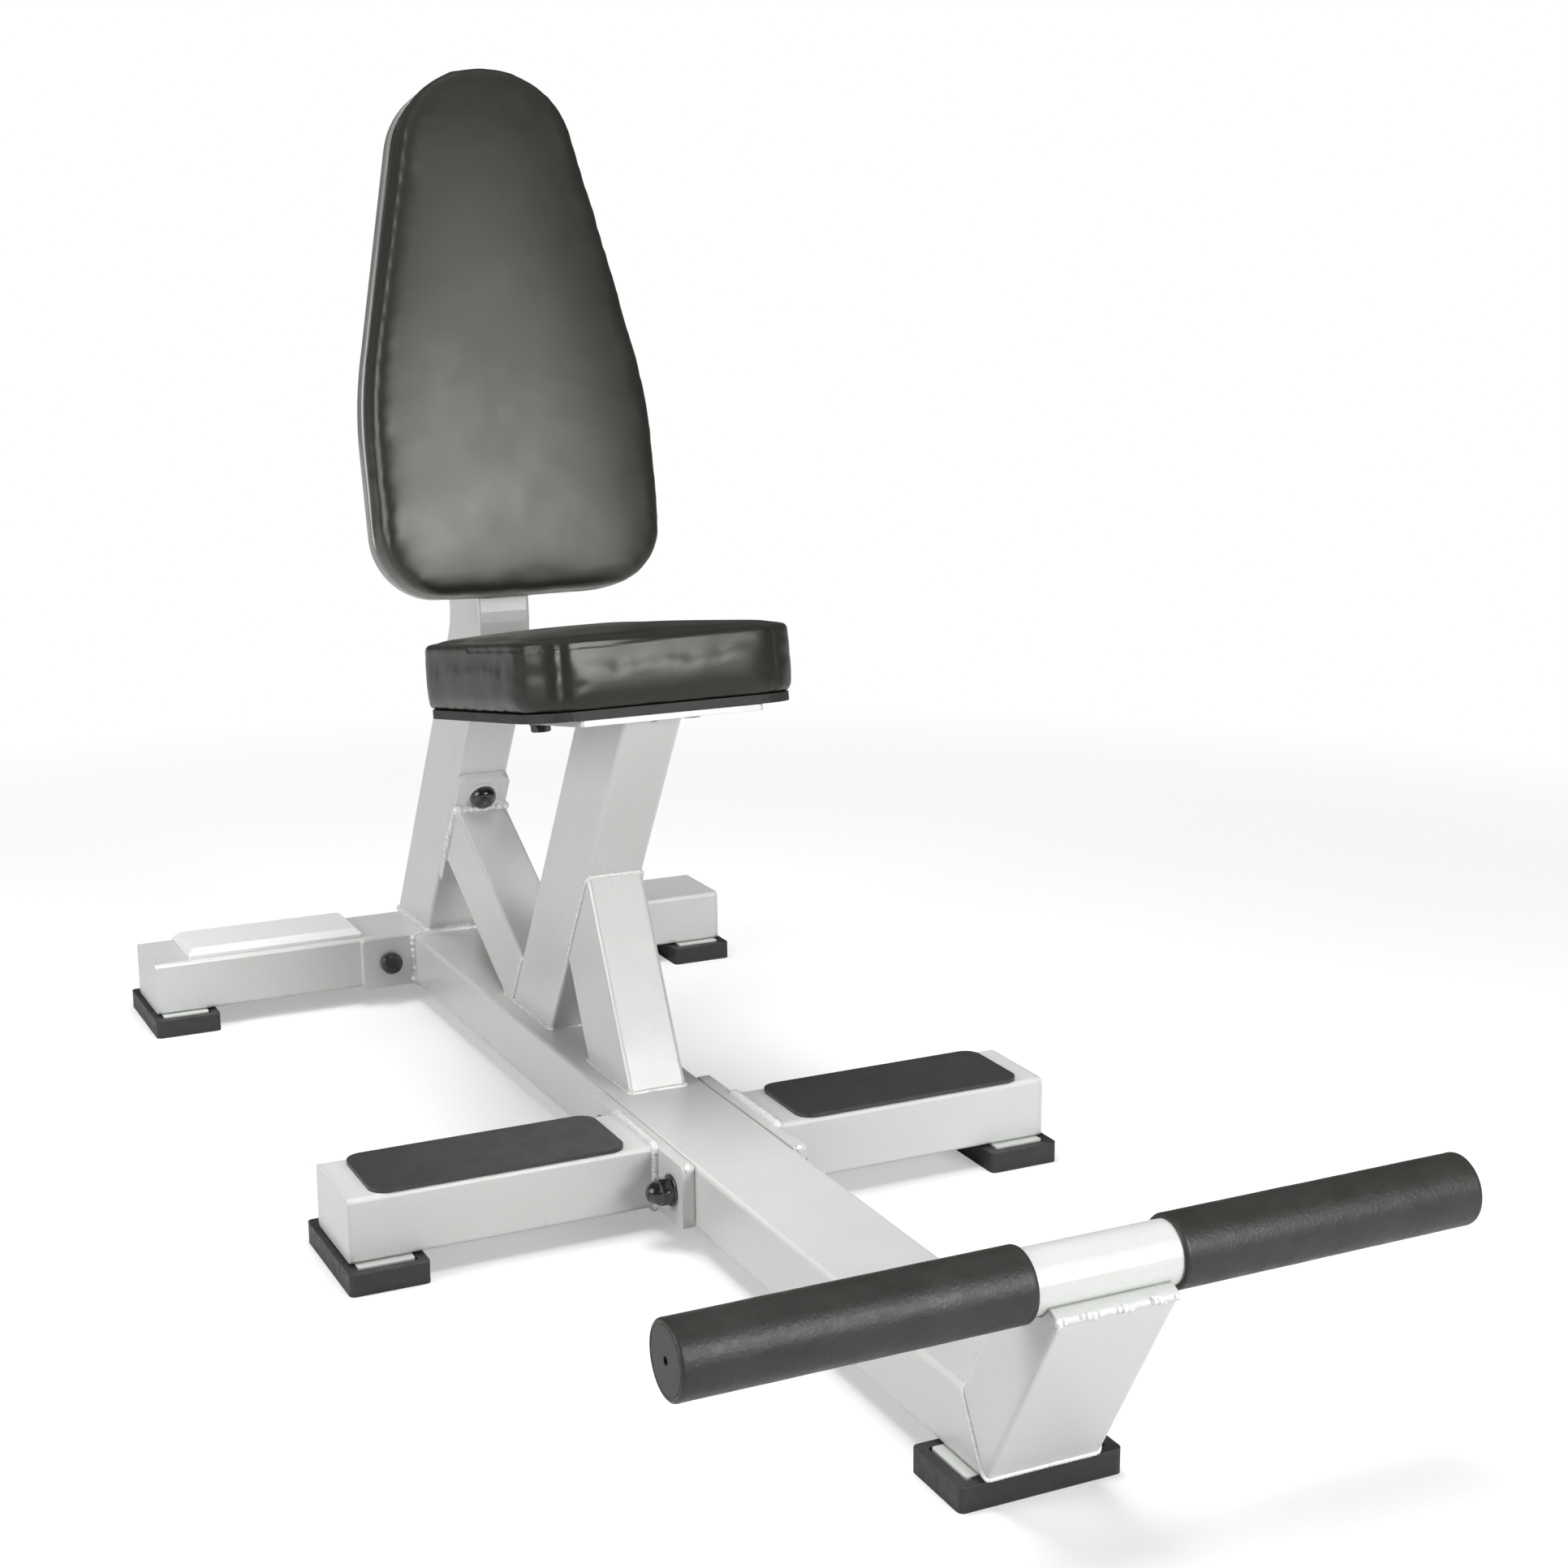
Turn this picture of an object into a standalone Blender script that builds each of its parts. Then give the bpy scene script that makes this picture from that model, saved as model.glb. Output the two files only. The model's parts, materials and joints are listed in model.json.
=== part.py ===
"""Utility bench: a low seat and a high back pad on a welded frame of rectangular tube.

Metres, +Z up. The front of the bench, where the foot bar is, points to -Y. The origin
is on the floor, at the middle of the bench's outline. Distances called "ahead" are
measured forward from the rear end of the base rail.
"""
import math

import bmesh
import bpy
from mathutils import Matrix, Vector

# Tubes of the frame
TUBE_BROAD = 0.100
TUBE_NARROW = 0.060
TUBE_WALL = 0.003
TUBE_CORNER = 0.004
REAR_BRACE_DEPTH = 0.080
CAP_THICK = 0.003

# Clearances
GAP = 0.0003
BOLT_CLEARANCE = 0.0006

# Base on the floor
BASE_UNDERSIDE = 0.022
RAIL_LENGTH = 1.344
CROSSBAR_LENGTH = 0.710
OUTRIGGER_REACH = 0.355
OUTRIGGER_AHEAD = 0.718

# Bolted plates
FLANGE_THICK = 0.012
REAR_FLANGE_WIDTH = 0.226
REAR_BOLT_SPACING = 0.160
OUTRIGGER_FLANGE_LENGTH = 0.220
OUTRIGGER_BOLT_SPACING = 0.169
BRACE_FLANGE_LENGTH = 0.165
BRACE_BOLT_SPACING = 0.114
BRACE_FLANGE_CORNER = 0.008

# Rubber feet and the steel plates that they grip
SHOE_LENGTH = 0.140
SHOE_WIDTH = 0.074
SHOE_HEIGHT = 0.0205
SHOE_FLOOR = 0.013
SHOE_RIM = 0.009
SHOE_CORNER = 0.005
SHOE_OVERHANG = 0.006
SHOE_PLATE_PLAY = 0.002

# Foot post, foot bar and rollers
FOOT_POST_LEAN = math.radians(30)
FOOT_BAR_HEIGHT = 0.2025
FOOT_BAR_SETBACK = 0.010
FOOT_BAR_RADIUS = 0.02415
FOOT_BAR_WALL = 0.0032
FOOT_POST_PAST_BAR = 0.001
ROLLER_WALL = 0.00345
ROLLER_START = 0.060
ROLLER_END = 0.325
ROLLER_CLOSED_END = 0.006
ROLLER_PLAY = 0.0004
ROLLER_VENT_RADIUS = 0.003
ROLLER_EDGE = 0.0025

# Seat post and front brace
SEAT_POST_AHEAD = 0.3495
SEAT_POST_LEAN = math.radians(31)
FRONT_BRACE_AHEAD = 0.572
FRONT_BRACE_LEAN = math.radians(28.2)

# Rear upright and rear brace
UPRIGHT_SETBACK = 0.0055
UPRIGHT_LEAN = math.radians(31.5)
UPRIGHT_BEND_RADIUS = 0.100
UPRIGHT_BEND_STEPS = 10
UPRIGHT_ABOVE_PAD_FOOT = 0.380
REAR_BRACE_RISE = math.radians(30)
REAR_BRACE_HEIGHT = 0.2315

# Seat: its frame sits on top of the seat plate, at the middle of the pad
SEAT_AHEAD = 0.509
SEAT_HEIGHT = 0.4423
SEAT_TILT = math.radians(9)
SEAT_WIDTH = 0.282
SEAT_LENGTH = 0.352
SEAT_CORNER = 0.047
SEAT_BOARD_THICK = 0.009
SEAT_CUSHION_THICK = 0.076
SEAT_CROWN = 0.007
SEAT_EDGE = 0.015
SEAT_TUCK = 0.004
SEAT_PLATE_WIDTH = 0.186
SEAT_PLATE_FRONT = 0.172
SEAT_PLATE_BACK = 0.085
PAD_PLATE_THICK = 0.006
SEAT_BOLT_X = 0.080
SEAT_BOLT_AHEAD = 0.028
VENT_NOTCH_RADIUS = 0.006

# Back pad: its frame sits on the back of its board, at the pad's lower end
BACK_AHEAD = 0.2419
BACK_HEIGHT = 0.520
BACK_LEAN = math.radians(12.4)
BACK_LENGTH = 0.552
BACK_WIDTH = 0.310
BACK_TOP_HALF_WIDTH = 0.0794
BACK_SHOULDER_HEIGHT = 0.208
BACK_LOWER_CORNER = 0.070
BACK_SHOULDER_RADIUS = 0.450
BACK_UPPER_CORNER = 0.092
BACK_BOARD_THICK = 0.020
BACK_BOARD_INSET = 0.001
BACK_CUSHION_THICK = 0.052
BACK_CROWN = 0.004
BACK_EDGE = 0.010
BACK_TUCK = 0.006
BACK_PLATE_WIDTH = 0.180
BACK_PLATE_FROM = 0.060
BACK_PLATE_TO = 0.340
BACK_MOUNT_DEPTH = 0.0225
BACK_MOUNT_FROM = 0.001
BACK_BOLT_X = 0.070
BACK_BOLT_INSET = 0.030

# Step pads on the outriggers and the bare plate on the crossbar
STEP_PAD_LENGTH = 0.242
STEP_PAD_WIDTH = 0.096
STEP_PAD_THICK = 0.004
STEP_PAD_CORNER = 0.016
STEP_PAD_MIDDLE = 0.210
NAME_PLATE_LENGTH = 0.208
NAME_PLATE_WIDTH = 0.088
NAME_PLATE_THICK = 0.011
NAME_PLATE_CHAMFER = 0.007
NAME_PLATE_CORNER = 0.003
NAME_PLATE_MIDDLE = 0.211

# Fasteners
FRAME_BOLT_RADIUS = 0.008
FRAME_BOLT_ACROSS = 0.024
FRAME_HEAD = 0.010
HEAD_CHAMFER = 0.0015
CAP_NUT_LENGTH = 0.025
CAP_NUT_HEX = 0.014
CAP_NUT_DOME_RADIUS = 0.011
NUT_THREAD = 0.010
ROUND_CAP_RADIUS = 0.013
ROUND_CAP_LENGTH = 0.010
ROUND_CAP_THREAD = 0.0035
BLIND_BOLT_REACH = 0.022
PAD_BOLT_RADIUS = 0.005
PAD_BOLT_ACROSS = 0.017
PAD_BOLT_HEAD = 0.007
PAD_BOLT_BITE = 0.006
WASHER_RADIUS = 0.011
WASHER_THICK = 0.0015

# Shape of the cushions and of the round caps, as shares of their height or radius
CUSHION_FOOT = 0.35
CAP_PROFILE = ((0.6, 1.0), (0.9, 0.86), (1.0, 0.6))

# Facets
ROUND_SIDES = 24
SMALL_SIDES = 12
ROLLER_SIDES = 48
CORNER_STEPS = 3
PAD_CORNER_STEPS = 8
CUSHION_FOOT_STEPS = 3
CUSHION_EDGE_STEPS = 4
CUSHION_CROWN_STEPS = 6
SMOOTH_ANGLE = math.radians(35)

# Sizes and places that follow from the ones above
ROLLER_RADIUS = FOOT_BAR_RADIUS + ROLLER_PLAY + ROLLER_WALL
BASE_TOP = BASE_UNDERSIDE + TUBE_NARROW
BASE_MIDDLE = BASE_UNDERSIDE + TUBE_NARROW / 2
CROSSBAR_BEHIND = FLANGE_THICK + 2 * GAP + TUBE_BROAD / 2
MITRE_SETBACK = TUBE_NARROW / 2 * math.tan(FOOT_POST_LEAN)
FOOT_POST_RUN = (FOOT_BAR_HEIGHT - BASE_MIDDLE) / math.cos(FOOT_POST_LEAN)
FOOT_POST_REACH = FOOT_POST_RUN * math.sin(FOOT_POST_LEAN)
FOOT_BAR_AHEAD = RAIL_LENGTH - MITRE_SETBACK + FOOT_POST_REACH - FOOT_BAR_SETBACK
FOOT_POST_TIP = (
    TUBE_NARROW / 2 * math.cos(FOOT_POST_LEAN)
    + FOOT_BAR_SETBACK * math.cos(FOOT_POST_LEAN) ** 2
    + (FOOT_POST_PAST_BAR - GAP) * math.sin(FOOT_POST_LEAN)
)
FRONT_END_AHEAD = FOOT_BAR_AHEAD + max(ROLLER_RADIUS, FOOT_POST_TIP)
REAR_END_BEHIND = CROSSBAR_BEHIND + SHOE_LENGTH / 2
RAIL_END_Y = (FRONT_END_AHEAD - REAR_END_BEHIND) / 2
UPRIGHT_AHEAD = -CROSSBAR_BEHIND - UPRIGHT_SETBACK
BACK_STACK = PAD_PLATE_THICK + BACK_MOUNT_DEPTH + 3 * GAP


def at(ahead, height, x=0.0):
    """The point at a distance ahead of the rail's rear end, at a height."""
    return Vector((x, RAIL_END_Y - ahead, height))


def leaning(angle):
    """Unit vector straight up, tipped back by the angle (negative leans forward)."""
    return Vector((0, math.sin(angle), math.cos(angle)))


def facing(angle):
    """Unit vector to the rear, square to leaning(angle)."""
    return Vector((0, math.cos(angle), -math.sin(angle)))


def clear_scene():
    for item in list(bpy.data.objects):
        bpy.data.objects.remove(item, do_unlink=True)


def material(name, colour, roughness, metallic=0.0):
    made = bpy.data.materials.new(name)
    made.use_nodes = True
    shader = made.node_tree.nodes["Principled BSDF"]
    shader.inputs["Base Color"].default_value = (*colour, 1)
    shader.inputs["Roughness"].default_value = roughness
    shader.inputs["Metallic"].default_value = metallic
    return made


def add_object(name, bm, finish, origin=Vector(), parent=None, turn=0.0):
    """Makes an object of the mesh, whose points are given around its own origin."""
    bmesh.ops.recalc_face_normals(bm, faces=bm.faces[:])
    mesh = bpy.data.meshes.new(name)
    bm.to_mesh(mesh)
    bm.free()
    mesh.materials.append(finish)
    mesh.shade_smooth()
    mesh.set_sharp_from_angle(angle=SMOOTH_ANGLE)
    made = bpy.data.objects.new(name, mesh)
    made.location = origin
    made.rotation_euler = (turn, 0, 0)
    made.parent = parent
    bpy.context.scene.collection.objects.link(made)
    return made


def add_empty(name, origin, turn=0.0):
    made = bpy.data.objects.new(name, None)
    made.location = origin
    made.rotation_euler = (turn, 0, 0)
    bpy.context.scene.collection.objects.link(made)
    return made


def loft(rings, ring_closed=False):
    """Skins a row of rings that have as many points each. Its ends are capped,
    or the last ring joins the first."""
    bm = bmesh.new()
    rows = [[bm.verts.new(point) for point in ring] for ring in rings]
    count = len(rows[0])
    pairs = list(zip(rows, rows[1:]))
    if ring_closed:
        pairs.append((rows[-1], rows[0]))
    else:
        bm.faces.new(rows[0][::-1])
        bm.faces.new(rows[-1])
    for lower, upper in pairs:
        for i in range(count):
            j = (i + 1) % count
            bm.faces.new((lower[i], lower[j], upper[j], upper[i]))
    return bm


def fillet(corners, steps):
    """A closed outline in a plane, from (x, y, radius) corners, counter-clockwise."""
    outline = []
    for i, (x, y, radius) in enumerate(corners):
        here = Vector((x, y))
        to_last = (Vector(corners[i - 1][:2]) - here).normalized()
        to_next = (Vector(corners[(i + 1) % len(corners)][:2]) - here).normalized()
        half = to_last.angle(to_next) / 2
        middle = here + (to_last + to_next).normalized() * radius / math.sin(half)
        start = here + to_last * radius / math.tan(half) - middle
        sweep = math.pi - 2 * half
        for k in range(steps + 1):
            outline.append(middle + Matrix.Rotation(sweep * k / steps, 2) @ start)
    return outline


def rounded_rectangle(width, depth, radius, steps=CORNER_STEPS):
    half_x = width / 2
    half_y = depth / 2
    signs = ((1, -1), (1, 1), (-1, 1), (-1, -1))
    return fillet([(sx * half_x, sy * half_y, radius) for sx, sy in signs], steps)


def slab(outline, low, high):
    """A flat plate of the outline, between two heights."""
    return loft([[Vector((*p, z)) for p in outline] for z in (low, high)])


def tube_rings(path, side, width, depth, radius):
    """Rings of a rounded rectangle along the path, with its width along side."""
    outline = rounded_rectangle(width, depth, radius)
    rings = []
    for i, point in enumerate(path):
        before = path[max(i - 1, 0)]
        after = path[min(i + 1, len(path) - 1)]
        ahead = (point - before).normalized() + (after - point).normalized()
        across = side.cross(ahead.normalized())
        rings.append([point + side * p.x + across * p.y for p in outline])
    return rings


def hollow_tube(path, side, width, depth):
    """A rectangular tube along the path, open at both ends."""
    inner = 2 * TUBE_WALL
    outside = tube_rings(path, side, width, depth, TUBE_CORNER)
    inside = tube_rings(path, side, width - inner, depth - inner, TUBE_CORNER - TUBE_WALL)
    return loft(outside + inside[::-1], ring_closed=True)


def trim(bm, point, outward):
    """Cuts away what lies past the plane through the point, and closes the cut."""
    everything = bm.verts[:] + bm.edges[:] + bm.faces[:]
    cut = bmesh.ops.bisect_plane(
        bm, geom=everything, plane_co=point, plane_no=outward, clear_outer=True
    )
    rim = [item for item in cut["geom_cut"] if isinstance(item, bmesh.types.BMEdge)]
    bmesh.ops.triangle_fill(bm, edges=rim, use_beauty=True)


def frame_tube(name, path, side, size, cuts, finish):
    """A tube of the frame, trimmed to the pieces that it meets. Its origin is the
    first point of its path."""
    bm = hollow_tube(path, side, *size)
    for point, outward in cuts:
        trim(bm, point - outward * GAP, outward)
    bmesh.ops.translate(bm, vec=-path[0], verts=bm.verts)
    return add_object(name, bm, finish, path[0])


def turned(rings, sides=SMALL_SIDES):
    """A piece turned about Z from (height, radius, corners) rings. A ring with six
    corners is a hexagon."""
    rows = []
    for height, radius, corners in rings:
        row = []
        for k in range(sides):
            angle = 2 * math.pi * k / sides
            reach = radius
            if corners == 6:
                reach *= math.cos(math.pi / 6) / math.cos(angle % (math.pi / 3) - math.pi / 6)
            row.append(Vector((reach * math.cos(angle), reach * math.sin(angle), height)))
        rows.append(row)
    return loft(rows)


def point_along(bm, direction, origin=Vector()):
    """Turns a piece made along Z to point in the direction, from the origin."""
    turn = Vector((0, 0, 1)).rotation_difference(direction).to_matrix()
    bmesh.ops.rotate(bm, cent=Vector(), matrix=turn, verts=bm.verts)
    bmesh.ops.translate(bm, vec=origin, verts=bm.verts)
    return bm


def drill(target, holes, sides=SMALL_SIDES):
    """Cuts round holes, given as (start, direction, length, radius) in the world."""
    for number, (start, direction, length, radius) in enumerate(holes):
        bm = turned([(0, radius, 0), (length, radius, 0)], sides)
        point_along(bm, direction)
        cutter = add_object(f"{target.name}_drill_{number}", bm, target.data.materials[0], start)
        cutter.hide_render = True
        cutter.display_type = "WIRE"
        cut = target.modifiers.new(f"hole_{number}", "BOOLEAN")
        cut.object = cutter
        cut.operation = "DIFFERENCE"
        cut.solver = "EXACT"


def hexagon(across):
    """Circumscribed radius of a hexagon from its size across the flats."""
    return across / 2 / math.cos(math.pi / 6)


def add_bolt(name, start, direction, grip, radius, across, head, finish):
    """A hexagon bolt: its head stands behind the start, its shank runs along the
    direction for the grip."""
    corner = hexagon(across)
    rings = [(-head, corner - HEAD_CHAMFER, 6), (HEAD_CHAMFER - head, corner, 6)]
    rings += [(0, corner, 6), (0, radius, 0), (grip, radius, 0)]
    return add_object(name, point_along(turned(rings), direction), finish, start)


def add_cap_nut(name, start, direction, finish):
    """A domed cap nut seated at the start, with its dome along the direction."""
    bore = FRAME_BOLT_RADIUS + BOLT_CLEARANCE
    corner = hexagon(FRAME_BOLT_ACROSS)
    rings = [(CAP_NUT_HEX, bore, 0), (0, bore, 0), (0, corner, 6), (CAP_NUT_HEX, corner, 6)]
    rise = CAP_NUT_LENGTH - CAP_NUT_HEX
    for degrees in (0, 30, 60, 80):
        angle = math.radians(degrees)
        radius = CAP_NUT_DOME_RADIUS * math.cos(angle)
        rings.append((CAP_NUT_HEX + rise * math.sin(angle), radius, 0))
    return add_object(name, point_along(turned(rings), direction), finish, start)


def add_round_cap(name, start, direction, finish):
    """A round cap that covers the nut on the end of a rear bolt."""
    bore = FRAME_BOLT_RADIUS + BOLT_CLEARANCE
    depth = ROUND_CAP_LENGTH / 2
    rings = [(depth, bore, 0), (0, bore, 0), (0, ROUND_CAP_RADIUS, 0)]
    rings += [(h * ROUND_CAP_LENGTH, r * ROUND_CAP_RADIUS, 0) for h, r in CAP_PROFILE]
    bm = point_along(turned(rings, ROUND_SIDES), direction)
    return add_object(name, bm, finish, start)


def add_base(finish, dark):
    """The rail, the rear crossbar, the two outriggers, and their end caps."""
    rail_start = at(0, BASE_MIDDLE)
    corner = at(RAIL_LENGTH - MITRE_SETBACK, BASE_MIDDLE)
    run = (corner - rail_start).normalized()
    mitre = (run + leaning(-FOOT_POST_LEAN)).normalized()
    past = corner + run * TUBE_NARROW
    rail = frame_tube(
        "base_rail", [rail_start, past], Vector((1, 0, 0)), (TUBE_BROAD, TUBE_NARROW),
        [(corner, mitre)], finish,
    )
    side = Vector((0, 1, 0))
    size = (TUBE_BROAD, TUBE_NARROW)
    bar_y = -CROSSBAR_BEHIND
    reach = CROSSBAR_LENGTH / 2 - CAP_THICK
    ends = [at(bar_y, BASE_MIDDLE, -reach), at(bar_y, BASE_MIDDLE, reach)]
    crossbar = frame_tube("rear_crossbar", ends, side, size, [], finish)
    for sign, hand in ((-1, "left"), (1, "right")):
        inner = TUBE_BROAD / 2 + FLANGE_THICK + 2 * GAP
        root = at(OUTRIGGER_AHEAD, BASE_MIDDLE, sign * (inner + GAP))
        tip = at(OUTRIGGER_AHEAD, BASE_MIDDLE, sign * (OUTRIGGER_REACH - CAP_THICK))
        frame_tube(f"{hand}_outrigger", [root, tip], side, size, [], finish)
        add_end_cap(f"{hand}_outrigger_end", tip, sign, finish)
        add_end_cap(f"crossbar_{hand}_end", at(bar_y, BASE_MIDDLE, sign * reach), sign, finish)
    add_outrigger_flanges(rail, finish, dark)
    add_rear_flange(crossbar, finish, dark)


def add_end_cap(name, tip, sign, finish):
    """The plate that closes the outer end of a base tube."""
    outline = rounded_rectangle(TUBE_NARROW, TUBE_BROAD, TUBE_CORNER)
    bm = slab(outline, GAP, CAP_THICK)
    bmesh.ops.rotate(bm, cent=Vector(), matrix=Matrix.Rotation(math.pi / 2, 3, "Y"), verts=bm.verts)
    if sign < 0:
        bmesh.ops.rotate(bm, cent=Vector(), matrix=Matrix.Rotation(math.pi, 3, "Z"), verts=bm.verts)
    return add_object(name, bm, finish, tip)


def add_outrigger_flanges(rail, finish, dark):
    """Each outrigger's flange plate, and the two bolts that run through the rail."""
    hole = FRAME_BOLT_RADIUS + BOLT_CLEARANCE
    middle = at(OUTRIGGER_AHEAD, BASE_MIDDLE)
    half = TUBE_BROAD / 2 + FLANGE_THICK + GAP
    to_right = Vector((1, 0, 0))
    holes = []
    for place in (-1, 1):
        offset = Vector((0, place * OUTRIGGER_BOLT_SPACING / 2, 0))
        holes.append((middle + offset - to_right * 2 * half, to_right, 4 * half, hole))
    for sign, hand in ((-1, "left"), (1, "right")):
        outline = rounded_rectangle(TUBE_NARROW, OUTRIGGER_FLANGE_LENGTH, TUBE_CORNER)
        bm = slab(outline, 0, FLANGE_THICK)
        point_along(bm, to_right)
        low = TUBE_BROAD / 2 + GAP
        start = low if sign > 0 else -low - FLANGE_THICK
        plate = add_object(f"{hand}_outrigger_flange", bm, finish, middle + to_right * start)
        drill(plate, holes)
    drill(rail, holes)
    for (start, _, _, _), name in zip(holes, ("front", "rear")):
        seat = Vector((half + GAP, start.y, start.z))
        grip = 2 * (half + GAP) + NUT_THREAD
        add_bolt(
            f"outrigger_bolt_{name}", seat, -to_right, grip, FRAME_BOLT_RADIUS,
            FRAME_BOLT_ACROSS, FRAME_HEAD, dark,
        )
        add_cap_nut(f"outrigger_nut_{name}", Vector((-seat.x, start.y, start.z)), -to_right, dark)


def add_rear_flange(crossbar, finish, dark):
    """The plate on the rail's rear end, bolted through the crossbar."""
    outline = rounded_rectangle(REAR_FLANGE_WIDTH, TUBE_NARROW, TUBE_CORNER)
    bm = slab(outline, 0, FLANGE_THICK)
    bmesh.ops.rotate(bm, cent=Vector(), matrix=Matrix.Rotation(-math.pi / 2, 3, "X"), verts=bm.verts)
    plate = add_object("rail_rear_flange", bm, finish, at(-GAP, BASE_MIDDLE))
    to_rear = Vector((0, 1, 0))
    back_face = CROSSBAR_BEHIND + TUBE_BROAD / 2
    hole = FRAME_BOLT_RADIUS + BOLT_CLEARANCE
    holes = []
    for sign, hand in ((-1, "left"), (1, "right")):
        x = sign * REAR_BOLT_SPACING / 2
        holes.append((at(FLANGE_THICK, BASE_MIDDLE, x), to_rear, 2 * back_face, hole))
        seat = at(-back_face - GAP, BASE_MIDDLE, x)
        grip = back_face + GAP + ROUND_CAP_THREAD
        add_bolt(
            f"rear_bolt_{hand}", seat, -to_rear, grip, FRAME_BOLT_RADIUS,
            FRAME_BOLT_ACROSS, FRAME_HEAD, dark,
        )
        add_round_cap(f"rear_bolt_cap_{hand}", at(0, BASE_MIDDLE, x), -to_rear, dark)
    drill(plate, holes)
    drill(crossbar, holes)


def add_shoe(name, middle, along_x, plate_finish, rubber):
    """A rubber foot and the steel plate inside it, under the end of a base tube."""
    length, width = (SHOE_WIDTH, SHOE_LENGTH) if along_x else (SHOE_LENGTH, SHOE_WIDTH)
    rim = 2 * SHOE_RIM
    outer = rounded_rectangle(length, width, SHOE_CORNER)
    inner = rounded_rectangle(length - rim, width - rim, SHOE_CORNER / 2)
    rings = []
    for outline, height in ((outer, 0), (outer, SHOE_HEIGHT), (inner, SHOE_HEIGHT), (inner, SHOE_FLOOR)):
        rings.append([Vector((*p, height)) for p in outline])
    add_object(f"{name}_rubber_foot", loft(rings), rubber, middle)
    play = rim + 2 * SHOE_PLATE_PLAY
    outline = rounded_rectangle(length - play, width - play, SHOE_CORNER / 2)
    bm = slab(outline, SHOE_FLOOR + GAP, BASE_UNDERSIDE - GAP)
    add_object(f"{name}_foot_plate", bm, plate_finish, middle)


def add_shoes(finish, rubber):
    outer = OUTRIGGER_REACH + SHOE_OVERHANG - SHOE_WIDTH / 2
    rear = CROSSBAR_LENGTH / 2 + SHOE_OVERHANG - SHOE_WIDTH / 2
    for sign, hand in ((-1, "left"), (1, "right")):
        add_shoe(f"front_{hand}", at(OUTRIGGER_AHEAD, 0, sign * outer), True, finish, rubber)
        add_shoe(f"rear_{hand}", at(-CROSSBAR_BEHIND, 0, sign * rear), True, finish, rubber)
    add_shoe("front_middle", at(RAIL_LENGTH - SHOE_WIDTH / 2, 0), False, finish, rubber)


def add_foot_post(finish):
    """The post mitred to the rail's front end, with a saddle for the foot bar."""
    corner = at(RAIL_LENGTH - MITRE_SETBACK, BASE_MIDDLE)
    up = leaning(-FOOT_POST_LEAN)
    run = Vector((0, -1, 0))
    mitre = (run + up).normalized()
    bar = at(FOOT_BAR_AHEAD, FOOT_BAR_HEIGHT)
    path = [corner - up * TUBE_BROAD, corner + up * (FOOT_POST_RUN + TUBE_NARROW)]
    cuts = [(corner, -mitre), (bar + up * FOOT_POST_PAST_BAR, up)]
    size = (TUBE_BROAD, TUBE_NARROW)
    post = frame_tube("foot_post", path, Vector((1, 0, 0)), size, cuts, finish)
    wide = Vector((1, 0, 0))
    saddle = (bar - wide * TUBE_BROAD, wide, 2 * TUBE_BROAD, FOOT_BAR_RADIUS + 2 * GAP)
    drill(post, [saddle], ROLLER_SIDES)


def circle(radius, x, sides):
    ring = []
    for k in range(sides):
        angle = 2 * math.pi * k / sides
        ring.append(Vector((x, radius * math.cos(angle), radius * math.sin(angle))))
    return ring


def add_foot_bar(finish, foam):
    """The round bar across the foot post, and the roller that turns on each end."""
    bar = at(FOOT_BAR_AHEAD, FOOT_BAR_HEIGHT)
    axis = add_empty("foot_bar_axis", bar)
    reach = ROLLER_END - ROLLER_CLOSED_END - 2 * GAP
    inner = FOOT_BAR_RADIUS - FOOT_BAR_WALL
    spots = ((FOOT_BAR_RADIUS, -reach), (FOOT_BAR_RADIUS, reach), (inner, reach), (inner, -reach))
    rings = [circle(radius, x, ROLLER_SIDES) for radius, x in spots]
    add_object("foot_bar", loft(rings, ring_closed=True), finish, parent=axis)
    bore = FOOT_BAR_RADIUS + ROLLER_PLAY
    closed = ROLLER_END - ROLLER_CLOSED_END
    for sign, hand in ((-1, "left"), (1, "right")):
        profile = [
            (bore, ROLLER_START), (ROLLER_RADIUS - ROLLER_EDGE, ROLLER_START),
            (ROLLER_RADIUS, ROLLER_START + ROLLER_EDGE), (ROLLER_RADIUS, ROLLER_END - ROLLER_EDGE),
            (ROLLER_RADIUS - ROLLER_EDGE, ROLLER_END), (ROLLER_VENT_RADIUS, ROLLER_END),
            (ROLLER_VENT_RADIUS, closed), (bore, closed),
        ]
        rings = [circle(radius, sign * x, ROLLER_SIDES) for radius, x in profile]
        add_object(f"{hand}_foot_roller", loft(rings, ring_closed=True), foam, parent=axis)


def upright_path():
    """Middle line of the rear upright: up and forward from the crossbar, then round
    a bend and back, parallel to the back pad."""
    base = at(UPRIGHT_AHEAD, BASE_TOP)
    lower = leaning(-UPRIGHT_LEAN)
    upper = leaning(BACK_LEAN)
    top = pad_foot() + facing(BACK_LEAN) * (BACK_STACK + TUBE_BROAD / 2)
    across = Vector((0, upper.z, -upper.y))
    bend = base + lower * ((top - base).dot(across) / lower.dot(across))
    turn = UPRIGHT_LEAN + BACK_LEAN
    reach = UPRIGHT_BEND_RADIUS * math.tan(turn / 2)
    middle = bend - lower * reach + facing(-UPRIGHT_LEAN) * UPRIGHT_BEND_RADIUS
    path = [base - lower * TUBE_BROAD]
    for k in range(UPRIGHT_BEND_STEPS + 1):
        angle = -UPRIGHT_LEAN + turn * k / UPRIGHT_BEND_STEPS
        path.append(middle - facing(angle) * UPRIGHT_BEND_RADIUS)
    path.append(top + upper * UPRIGHT_ABOVE_PAD_FOOT)
    return path


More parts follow.
